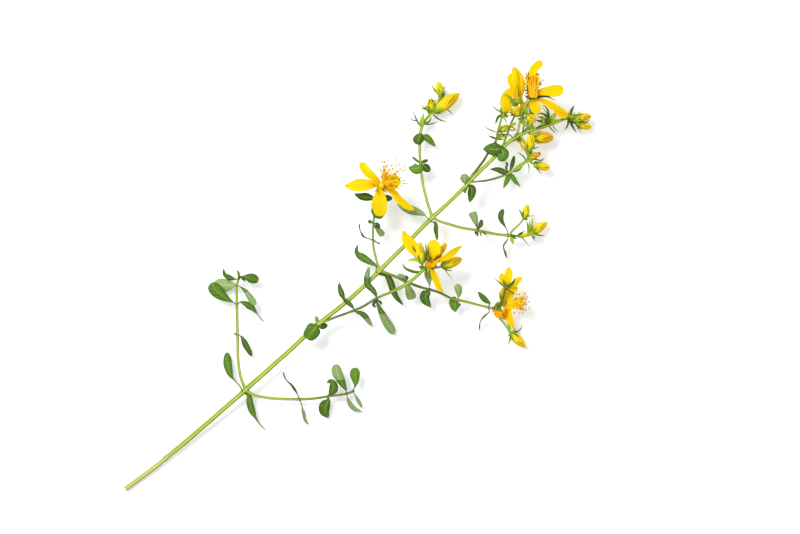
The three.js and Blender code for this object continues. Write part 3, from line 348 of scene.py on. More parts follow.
def add_blade_mesh(piece, top, low, t, s, turned, finish, tone):
    """Closes the upper and under side of a blade into one mesh with a pointed tip.

    Beyond the share in turned, the two finishes change sides, along a slightly slanting line.
    """
    rows, columns = len(t) - 1, len(s) - 1
    width = columns + 1
    under_start = rows * width
    tip = under_start + rows * (columns - 1)
    verts = [top[:rows].reshape(-1, 3), low[:rows, 1:-1].reshape(-1, 3), top[rows, columns // 2][None]]

    def upper(i, j):
        return i * width + j

    def under(i, j):
        return upper(i, j) if j in (0, columns) else under_start + i * (columns - 1) + j - 1

    faces, uvs, finishes = [], [], []
    u = (s + 1) / 2
    for i in range(rows - 1):
        for j in range(columns):
            corners = ((u[j], t[i]), (u[j + 1], t[i]), (u[j + 1], t[i + 1]), (u[j], t[i + 1]))
            faces.append((upper(i, j), upper(i, j + 1), upper(i + 1, j + 1), upper(i + 1, j)))
            uvs.append(corners)
            faces.append((under(i, j + 1), under(i, j), under(i + 1, j), under(i + 1, j + 1)))
            uvs.append((corners[1], corners[0], corners[3], corners[2]))
            finishes.extend(finish[::-1] if t[i] + TURN_SLANT * s[j] > turned else finish)
    last = rows - 1
    for j in range(columns):
        left, right, point = (u[j], t[last]), (u[j + 1], t[last]), (0.5, 1.0)
        faces.append((upper(last, j), upper(last, j + 1), tip))
        uvs.append((left, right, point))
        faces.append((under(last, j + 1), under(last, j), tip))
        uvs.append((right, left, point))
        finishes.extend(finish[::-1] if turned < 1 else finish)
    for j in range(columns):
        foot = tuple(dict.fromkeys((under(0, j), under(0, j + 1), upper(0, j + 1), upper(0, j))))
        faces.append(foot)
        uvs.append(((0.5, 0.0),) * len(foot))
        finishes.append(finish[0])
    piece.add(np.vstack(verts), faces, uvs, finishes, tone)


# Materials

def rgb(red, green, blue):
    """A display colour of 0 to 255 as a linear shader colour."""
    def linear(c):
        c = c / 255
        return c / 12.92 if c <= 0.04045 else ((c + 0.055) / 1.055) ** 2.4

    return (linear(red), linear(green), linear(blue), 1.0)


class Finish:
    """A material under construction, with short ways to add its nodes.

    skin is its colour so far, which paint changes where the share is high.
    """

    def __init__(self, name, roughness=0.5, gloss=0.2):
        self.material = bpy.data.materials.new(name)
        self.material.use_nodes = True
        self.tree = self.material.node_tree
        self.shader = self.tree.nodes["Principled BSDF"]
        self.shader.inputs["Roughness"].default_value = roughness
        self.shader.inputs["Specular IOR Level"].default_value = gloss
        self.uv = self.node("ShaderNodeTexCoord").outputs["UV"]
        split = self.node("ShaderNodeSeparateXYZ", Vector=self.uv)
        self.u = split.outputs["X"]
        self.v = split.outputs["Y"]
        tone = self.node("ShaderNodeAttribute")
        tone.attribute_name = "tone"
        self.tone = tone.outputs["Fac"]
        self.across = self.math("MULTIPLY", self.apart(self.u, 0.5), 2.0)
        self.skin = None

    def node(self, kind, **inputs):
        made = self.tree.nodes.new(kind)
        for name, value in inputs.items():
            self.feed(made.inputs[name], value)
        return made

    def feed(self, socket, value):
        if isinstance(value, bpy.types.NodeSocket):
            self.tree.links.new(value, socket)
        else:
            socket.default_value = value

    def math(self, operation, a, b=0.0, clamp=False):
        made = self.tree.nodes.new("ShaderNodeMath")
        made.operation = operation
        made.use_clamp = clamp
        self.feed(made.inputs[0], a)
        self.feed(made.inputs[1], b)
        return made.outputs[0]

    def sum(self, a, b, clamp=False):
        return self.math("ADD", a, b, clamp)

    def product(self, first, *others):
        for other in others:
            first = self.math("MULTIPLY", first, other)
        return first

    def apart(self, a, b):
        """How far a is from b."""
        return self.math("ABSOLUTE", self.math("SUBTRACT", a, b))

    def vector(self, operation, a, b):
        made = self.tree.nodes.new("ShaderNodeVectorMath")
        made.operation = operation
        self.feed(made.inputs[0], a)
        made.inputs[1].default_value = b
        return made

    def scaled(self, x, y):
        """The surface coordinate, stretched."""
        return self.vector("MULTIPLY", self.uv, (x, y, 1.0)).outputs[0]

    def noise(self, x, y, scale=1.0, detail=3.0):
        made = self.node("ShaderNodeTexNoise", Vector=self.scaled(x, y), Scale=scale, Detail=detail)
        return made.outputs["Fac"]

    def cells(self, x, y, feature="F1"):
        made = self.node("ShaderNodeTexVoronoi", Vector=self.scaled(x, y), Scale=1.0)
        made.feature = feature
        return made.outputs["Distance"]

    def fit(self, value, low, high, start=0.0, end=1.0):
        """value from low to high as start to end, held beyond both."""
        made = self.tree.nodes.new("ShaderNodeMapRange")
        made.interpolation_type = "SMOOTHSTEP"
        names = ("Value", "From Min", "From Max", "To Min", "To Max")
        for socket, number in zip(names, (value, low, high, start, end)):
            self.feed(made.inputs[socket], number)
        return made.outputs["Result"]

    def near(self, value, middle, reach):
        """1 where value is at middle, falling to 0 at reach from it."""
        return self.fit(self.apart(value, middle), 0.0, reach, 1.0, 0.0)

    def mix(self, share, a, b):
        made = self.tree.nodes.new("ShaderNodeMix")
        made.data_type = "RGBA"
        self.feed(made.inputs[0], share)
        self.feed(made.inputs[6], a)
        self.feed(made.inputs[7], b)
        return made.outputs[2]

    def paint(self, share, colour):
        self.skin = self.mix(share, self.skin, colour)

    def finished(self, relief, depth, strength=0.6):
        """The material, with its colour laid on and relief as small bumps, depth in metres high."""
        self.feed(self.shader.inputs["Base Color"], self.skin)
        made = self.node("ShaderNodeBump", Height=relief, Distance=depth, Strength=strength)
        self.feed(self.shader.inputs["Normal"], made.outputs["Normal"])
        return self.material

    def let_light_through(self, colour, share):
        """Mixes in light that comes through a thin blade from its far side."""
        through = self.node("ShaderNodeBsdfTranslucent", Color=colour)
        blend = self.node("ShaderNodeMixShader", Fac=share)
        self.tree.links.new(self.shader.outputs["BSDF"], blend.inputs[1])
        self.tree.links.new(through.outputs["BSDF"], blend.inputs[2])
        out = self.tree.nodes["Material Output"]
        self.tree.links.new(blend.outputs["Shader"], out.inputs["Surface"])

    def vein_share(self, width):
        """How near the surface is to a side vein, as side_veins works it out for the mesh."""
        bent = self.math("MULTIPLY", self.math("POWER", self.across, VEIN_BEND), VEIN_SWEEP * LEAF_VEINS)
        phase = self.math("SUBTRACT", self.math("MULTIPLY", self.v, LEAF_VEINS), bent)
        return self.fit(self.apart(phase, self.math("ROUND", phase)), 0.0, width, 1.0, 0.0)


def leaf_finish(name, dark, light, vein, vein_strength, roughness, gloss, glow):
    """A leaf's skin: blotchy green, a bright midrib and side veins, and a net of fine cells."""
    f = Finish(name, roughness, gloss)
    blotch = f.noise(1.0, 2.5, 4.0, 4.0)
    share = f.sum(f.product(blotch, 0.6), f.product(f.tone, 0.9))
    f.skin = f.mix(f.fit(share, 0.3, 1.15), dark, light)
    net = f.fit(f.cells(11.2, 28.8, "DISTANCE_TO_EDGE"), 0.0, 0.12, 0.3, 0.0)
    f.paint(f.product(net, vein_strength), vein)
    beside_veins = f.fit(f.apart(f.vein_share(0.5), 0.35), 0.0, 0.3, 0.3, 0.0)
    f.paint(beside_veins, dark)
    side = f.product(f.vein_share(0.13), f.fit(f.across, 0.3, 0.95, 1.0, 0.1))
    midrib = f.product(f.fit(f.across, 0.035, 0.12, 1.0, 0.0), f.fit(f.v, 0.2, 1.0, 1.0, 0.4))
    veined = f.math("MAXIMUM", midrib, side)
    f.paint(f.product(veined, vein_strength), vein)
    dots = f.fit(f.cells(11.7, 33.8), 0.05, 0.13, 0.35, 0.0)
    f.paint(dots, light)
    margin = f.fit(f.across, 0.84, 0.97, 0.0, 0.8)
    f.paint(margin, dark)
    f.let_light_through(light, glow)
    return f.finished(f.sum(f.product(veined, -0.6), blotch), 0.00012)


def petal_finish(name, yellow, deep, streak, glow=0.22):
    """A petal's skin: bright yellow with fine nerves, deeper at its foot and where tone is high."""
    f = Finish(name, 0.6, 0.1)
    soft = f.noise(2.0, 1.2, 3.0)
    nerves = f.noise(22.0, 1.3, detail=2.0)
    foot = f.fit(f.v, 0.02, 0.5, 1.0, 0.0)
    deepness = f.sum(foot, f.product(f.fit(nerves, 0.45, 0.75), f.fit(f.v, 0.3, 1.0, 0.55, 0.25)))
    deepness = f.sum(deepness, f.product(f.tone, f.fit(soft, 0.25, 0.75, 0.3, 1.2)), clamp=True)
    f.skin = f.mix(deepness, yellow, deep)
    fine = f.product(f.fit(f.noise(48.0, 1.8, detail=2.0), 0.55, 0.7), f.fit(f.v, 0.98, 0.3, 0.0, 0.6))
    f.paint(fine, streak)
    middle = f.product(f.fit(f.across, 0.0, 0.45, 1.0, 0.0), f.fit(f.v, 0.95, 0.2, 0.1, 0.6))
    f.paint(middle, deep)
    margin = f.fit(f.across, 0.84, 1.0, 0.0, 0.5)
    f.paint(margin, streak)
    dots = f.product(f.fit(f.cells(11.0, 24.0), 0.02, 0.08, 1.0, 0.0), f.fit(f.across, 0.84, 0.93))
    f.paint(dots, rgb(70, 30, 10))
    f.let_light_through(yellow, glow)
    return f.finished(f.sum(nerves, f.product(soft, 0.5)), 0.00012)


def stem_finish():
    """A stem's skin: yellow-green, a painted highlight on each ridge, painted shade beside it and on the
    flanks.

    It is pale where tone is high and dull olive where tone is low, partly as painted shade.
    """
    f = Finish("stem_skin", 0.5, 0.25)
    long_streaks = f.noise(16.0, 0.55, detail=4.0)
    blotch = f.noise(1.5, 1.1)
    f.skin = f.mix(f.fit(long_streaks, 0.35, 0.7), rgb(130, 158, 16), rgb(168, 192, 40))
    f.paint(f.fit(blotch, 0.45, 0.8, 0.0, 0.5), rgb(186, 206, 56))
    pale = f.mix(f.fit(long_streaks, 0.3, 0.7), rgb(172, 168, 78), rgb(206, 204, 128))
    f.paint(f.fit(f.tone, 0.5, 1.0), pale)
    # Dull olive where tone is low: partly the stem's own colour, partly painted shade
    dull = f.mix(f.fit(long_streaks, 0.35, 0.65), rgb(54, 66, 12), rgb(88, 102, 24))
    f.paint(f.fit(f.tone, 0.5, 0.0), dull)
    # Painted highlight along each ridge, and painted shade in the grooves on both sides of it
    for middle in (RIDGE_TURN, RIDGE_TURN + 0.5):
        for groove_shade_offset in (-0.08, 0.085):
            f.paint(f.product(f.near(f.u, middle + groove_shade_offset, 0.05), 0.5), rgb(96, 116, 18))
        bright = f.product(f.near(f.u, middle, 0.055), f.fit(f.tone, 0.1, 0.5, 0.2, 0.9))
        f.paint(bright, rgb(222, 230, 116))
    # Painted shade on the flanks, the sides of the stem as seen from above
    for shaded_flank, strength in ((0.0, 0.75), (0.5, 0.55), (1.0, 0.75)):
        f.paint(f.product(f.near(f.u, shaded_flank, 0.11), strength), rgb(78, 96, 14))
    return f.finished(f.sum(long_streaks, f.product(blotch, 0.3)), 0.0001)


def pith_finish():
    """The flat cut end: pale wood with a green rim and a soft middle."""
    f = Finish("cut_pith", 0.8)
    reach = f.vector("DISTANCE", f.uv, (0.5, 0.5, 0.0)).outputs["Value"]
    grain = f.noise(14.0, 14.0, detail=4.0)
    f.skin = f.mix(f.fit(grain, 0.3, 0.7), rgb(214, 206, 160), rgb(238, 232, 200))
    f.paint(f.fit(reach, 0.36, 0.5), rgb(150, 160, 80))
    f.paint(f.fit(reach, 0.08, 0.0), rgb(190, 176, 120))
    return f.finished(grain, 0.0001, 0.8)


def bud_finish():
    """A bud's skin: lime at the foot, yellow above, with brown lines along its seams.

    It is orange where tone is high.
    """
    f = Finish("bud_skin", 0.5, 0.2)
    turned = f.math("SUBTRACT", f.product(f.u, BUD_SEAMS), f.product(f.v, BUD_TWIST * BUD_SEAMS))
    fold = f.math("FRACT", f.sum(turned, 20.0))
    streaks = f.noise(26.0, 1.2)
    f.skin = f.mix(f.fit(f.v, 0.02, 0.34), rgb(176, 196, 20), rgb(255, 232, 14))
    f.paint(f.product(f.fit(f.v, 0.1, 0.8), f.tone), rgb(246, 176, 14))
    f.paint(f.fit(streaks, 0.45, 0.72, 0.0, 0.28), rgb(222, 176, 10))
    broken = f.fit(f.noise(6.0, 4.0, detail=2.0), 0.38, 0.55)
    length = f.product(f.fit(f.v, 0.1, 0.3), f.fit(f.v, 0.9, 1.0, 1.0, 0.2))
    for seam in (0.0, 1.0):
        f.paint(f.product(f.near(fold, seam, 0.08), length, 0.8), rgb(142, 88, 6))
    for middle, strength in ((0.36, 1.0), (0.68, 0.35)):
        f.paint(f.product(f.near(fold, middle, 0.1), broken, length, strength), rgb(96, 44, 4))
    dots = f.product(f.fit(f.cells(14.0, 6.0), 0.04, 0.13, 1.0, 0.0), f.fit(streaks, 0.52, 0.62))
    f.paint(dots, rgb(70, 40, 10))
    f.paint(f.fit(f.v, 0.95, 1.0, 0.0, 0.5), rgb(160, 120, 14))
    f.let_light_through(rgb(240, 210, 50), 0.1)
    return f.finished(streaks, 0.0001)


def small_finish(name, first, second, roughness, scale, dots=None):
    """A small organ's skin: two colours in soft patches, with dots if a colour is given."""
    f = Finish(name, roughness)
    patch = f.noise(3.0, 3.0, scale)
    share = f.sum(f.product(patch, 0.6), f.product(f.tone, 0.6))
    f.skin = f.mix(f.fit(share, 0.3, 0.9), first, second)
    if dots:
        f.paint(f.fit(f.cells(8.4, 22.4), 0.05, 0.14, 0.9, 0.0), dots)
    return f.finished(patch, 0.00006, 0.5)


STEM = stem_finish()
PITH = pith_finish()
LEAF_UPPER = leaf_finish(
    "leaf_upper", rgb(26, 62, 4), rgb(92, 142, 22), rgb(160, 192, 90), 0.7, 0.5, 0.14, 0.08
)
LEAF_UNDER = leaf_finish(
    "leaf_under", rgb(96, 132, 66), rgb(146, 178, 104), rgb(206, 222, 158), 0.85, 0.65, 0.15, 0.1
)
PETAL = petal_finish("petal_skin", rgb(255, 232, 0), rgb(255, 206, 4), rgb(226, 158, 0))
PETAL_DRY = petal_finish("petal_withering", rgb(252, 204, 24), rgb(238, 150, 16), rgb(160, 70, 10), 0.12)
BUD = bud_finish()
SEPAL = small_finish("sepal_skin", rgb(88, 118, 16), rgb(164, 190, 44), 0.55, 2.0, rgb(40, 40, 14))
BRACT = small_finish("bract_skin", rgb(44, 62, 20), rgb(108, 138, 36), 0.6, 2.0)
FILAMENT = small_finish("filament_skin", rgb(255, 190, 6), rgb(255, 224, 36), 0.6, 2.0)
ANTHER = small_finish("anther_skin", rgb(74, 62, 20), rgb(134, 116, 44), 0.7, 3.0, rgb(44, 34, 10))
POLLEN = small_finish("pollen_skin", rgb(248, 176, 0), rgb(255, 204, 16), 0.7, 3.0)
OVARY = small_finish("ovary_skin", rgb(226, 190, 14), rgb(255, 226, 24), 0.5, 2.0)
OVARY_OLD = small_finish("old_ovary_skin", rgb(92, 76, 8), rgb(158, 134, 20), 0.5, 2.0)
WITHERED = small_finish("withered_skin", rgb(84, 34, 12), rgb(150, 84, 26), 0.7, 2.0)


# Stems: the points of each, its radii and its tones, both evenly from its foot to its tip

# A low tone paints a stem dull olive, partly its own colour and partly painted shade
STEMS = {
    "main_stem": ([
        [0, 0, 1.0], [4.8, 3.5, 1.05], [8.8, 6.4, 1.15], [12.8, 9.5, 1.3], [16.5, 12.6, 1.5],
        [20.5, 15.8, 1.8], [28.2, 22.3, 2.4], [35.8, 28.9, 3.1], [43.4, 35.5, 3.8], [50.8, 42.0, 4.4],
        [58.3, 48.7, 4.9], [65.7, 55.3, 5.4], [71.4, 60.6, 5.8], [77.2, 66.0, 6.2], [84.7, 71.8, 6.7],
        [92.2, 78.1, 7.3], [99.4, 84.9, 7.7], [106.5, 92.1, 8.1], [113.6, 99.1, 8.4], [120.5, 106.3, 8.6],
        [127.8, 113.1, 8.8], [133.4, 118.4, 8.9], [138.2, 123.4, 9.0], [142.2, 127.3, 9.0],
        [147.9, 133.0, 9.0], [151.4, 136.8, 9.0], [155.0, 139.8, 8.8], [160.2, 142.8, 8.2],
        [168.2, 145.2, 7.0], [175.4, 148.0, 5.9], [177.4, 148.6, 5.6],
    ], [1.0, 1.0, 1.0, 0.98, 0.96, 0.9, 0.82, 0.84, 0.62], [0.5, 0.5, 0.5, 0.5, 0.5, 0.45]),
    "branch_lower_left": ([
        [48.4, 39.8, 4.2], [46.9, 43.6, 4.8], [46.2, 46.2, 4.9], [45.4, 52.6, 4.6], [45.2, 61.8, 4.2],
        [44.9, 74.2, 4.0], [44.9, 81.6, 3.8], [45.4, 83.8, 3.7], [45.8, 85.8, 3.7],
    ], [0.58, 0.58, 0.56, 0.42], [0.5, 0.4, 0.35, 0.3]),
    "branch_lower_right": ([
        [48.4, 39.8, 4.2], [50.8, 38.2, 4.0], [52.2, 37.6, 3.9], [58.2, 36.5, 3.6], [66.2, 36.1, 3.4],
        [74.2, 36.2, 3.4], [81.4, 37.2, 3.4], [88.8, 38.3, 3.4], [92.0, 39.5, 3.4],
    ], [0.6, 0.6, 0.52, 0.46], [0.5, 0.4, 0.2, 0.15]),
    "branch_to_cluster": ([
        [77.4, 66.2, 6.2], [80.6, 67.4, 6.9], [83.0, 68.4, 7.3], [89.0, 70.6, 8.2], [95.0, 73.0, 9.3],
        [101.0, 76.6, 10.4], [107.0, 79.2, 11.2], [112.2, 81.8, 11.8], [116.2, 84.8, 12.1],
        [119.4, 87.8, 12.2], [120.6, 88.9, 12.2],
    ], [0.56, 0.5, 0.46, 0.5, 0.8, 0.62], [0.4, 0.05, 0.05, 0.25, 0.4, 0.4]),
    "branch_to_flower": ([
        [102.2, 87.4, 7.8], [101.0, 91.0, 7.8], [100.4, 93.4, 7.8], [99.8, 95.8, 7.7], [99.5, 98.6, 7.6],
        [99.4, 103.8, 7.6], [99.7, 107.8, 7.8], [100.0, 111.0, 8.2], [100.6, 114.2, 8.8],
        [101.4, 118.0, 9.4], [101.9, 120.2, 10.0],
    ], [0.5, 0.45, 0.42, 0.4], [0.45, 0.25, 0.2, 0.35]),
    "branch_far_right": ([
        [102.2, 87.4, 7.8], [105.4, 86.4, 8.2], [108.2, 85.2, 8.3], [113.4, 82.8, 8.2], [119.0, 80.8, 7.9],
        [125.4, 79.0, 7.4], [131.0, 76.4, 6.8], [136.2, 75.2, 6.3], [144.2, 73.2, 5.9], [147.0, 72.6, 5.8],
    ], [0.5, 0.58, 0.54, 0.54, 0.5], [0.3, 0.12, 0.1, 0.3, 0.35]),
    "branch_upper_left": ([
        [123.0, 108.8, 8.7], [122.2, 111.6, 8.6], [121.4, 113.8, 8.2], [120.4, 117.8, 7.6],
        [119.4, 121.8, 6.8], [118.4, 129.8, 5.4], [118.1, 135.8, 4.6], [118.1, 139.0, 4.2],
        [118.4, 142.6, 3.8], [119.4, 146.2, 3.4], [121.0, 148.6, 3.1], [122.2, 150.0, 3.0],
    ], [0.54, 0.55, 0.58, 0.6, 0.64], [0.5, 0.4, 0.35, 0.4, 0.45]),
    "branch_upper_right": ([
        [123.0, 108.8, 8.7], [126.2, 107.2, 8.4], [130.2, 106.0, 7.9], [134.2, 104.8, 7.4],
        [141.4, 103.6, 6.4], [148.2, 102.2, 5.8], [154.2, 101.6, 5.4],
    ], [0.52, 0.54, 0.58, 0.56], [0.5, 0.35, 0.3, 0.35]),
    "branch_top_left": ([
        [137.8, 123.0, 9.0], [138.6, 125.0, 8.6], [141.4, 128.6, 7.6], [143.8, 131.8, 7.0],
        [145.4, 134.6, 6.8], [147.0, 137.0, 6.8], [148.6, 139.6, 6.8], [149.3, 143.0, 7.0],
        [150.5, 147.6, 7.6], [151.7, 150.8, 8.2],
    ], [0.5, 0.56, 0.54, 0.48, 0.46], [0.3, 0.08, 0.05, 0.3, 0.45]),
    "branch_top_right": ([
        [137.8, 123.0, 9.0], [140.6, 123.1, 8.4], [145.0, 123.6, 7.4], [150.2, 125.0, 6.4],
        [153.8, 126.6, 6.2], [157.4, 128.8, 6.4], [160.4, 131.2, 6.8],
    ], [0.42, 0.4, 0.4, 0.6, 0.66], [0.4, 0.05, 0.1, 0.6, 0.55]),
    "stalk_top_bud": ([
        [151.2, 136.9, 9.0], [151.9, 139.2, 9.6], [152.8, 141.6, 10.0], [153.9, 144.4, 10.3],
        [154.7, 146.8, 10.6], [155.7, 148.9, 11.0], [156.6, 151.6, 11.6], [157.2, 154.8, 12.1],
    ], [0.42, 0.38, 0.38, 0.42], [0.3, 0.1, 0.15, 0.4]),
    "stalk_top_flower": ([
        [157.0, 141.2, 8.6], [157.4, 143.8, 9.2], [157.9, 146.4, 9.8], [158.9, 148.7, 10.4],
        [160.4, 151.4, 11.3], [162.0, 155.4, 12.2],
    ], [0.44, 0.42, 0.4, 0.44], [0.6, 0.6, 0.5, 0.5]),
}
OLD_NODE = (16.2, 12.6)


# Leaves

UNDER = (180,)


def shape(width, *spine, **options):
    """A leaf or petal to grow: its width, its spine and what differs from the rest."""
    return width, spine, options


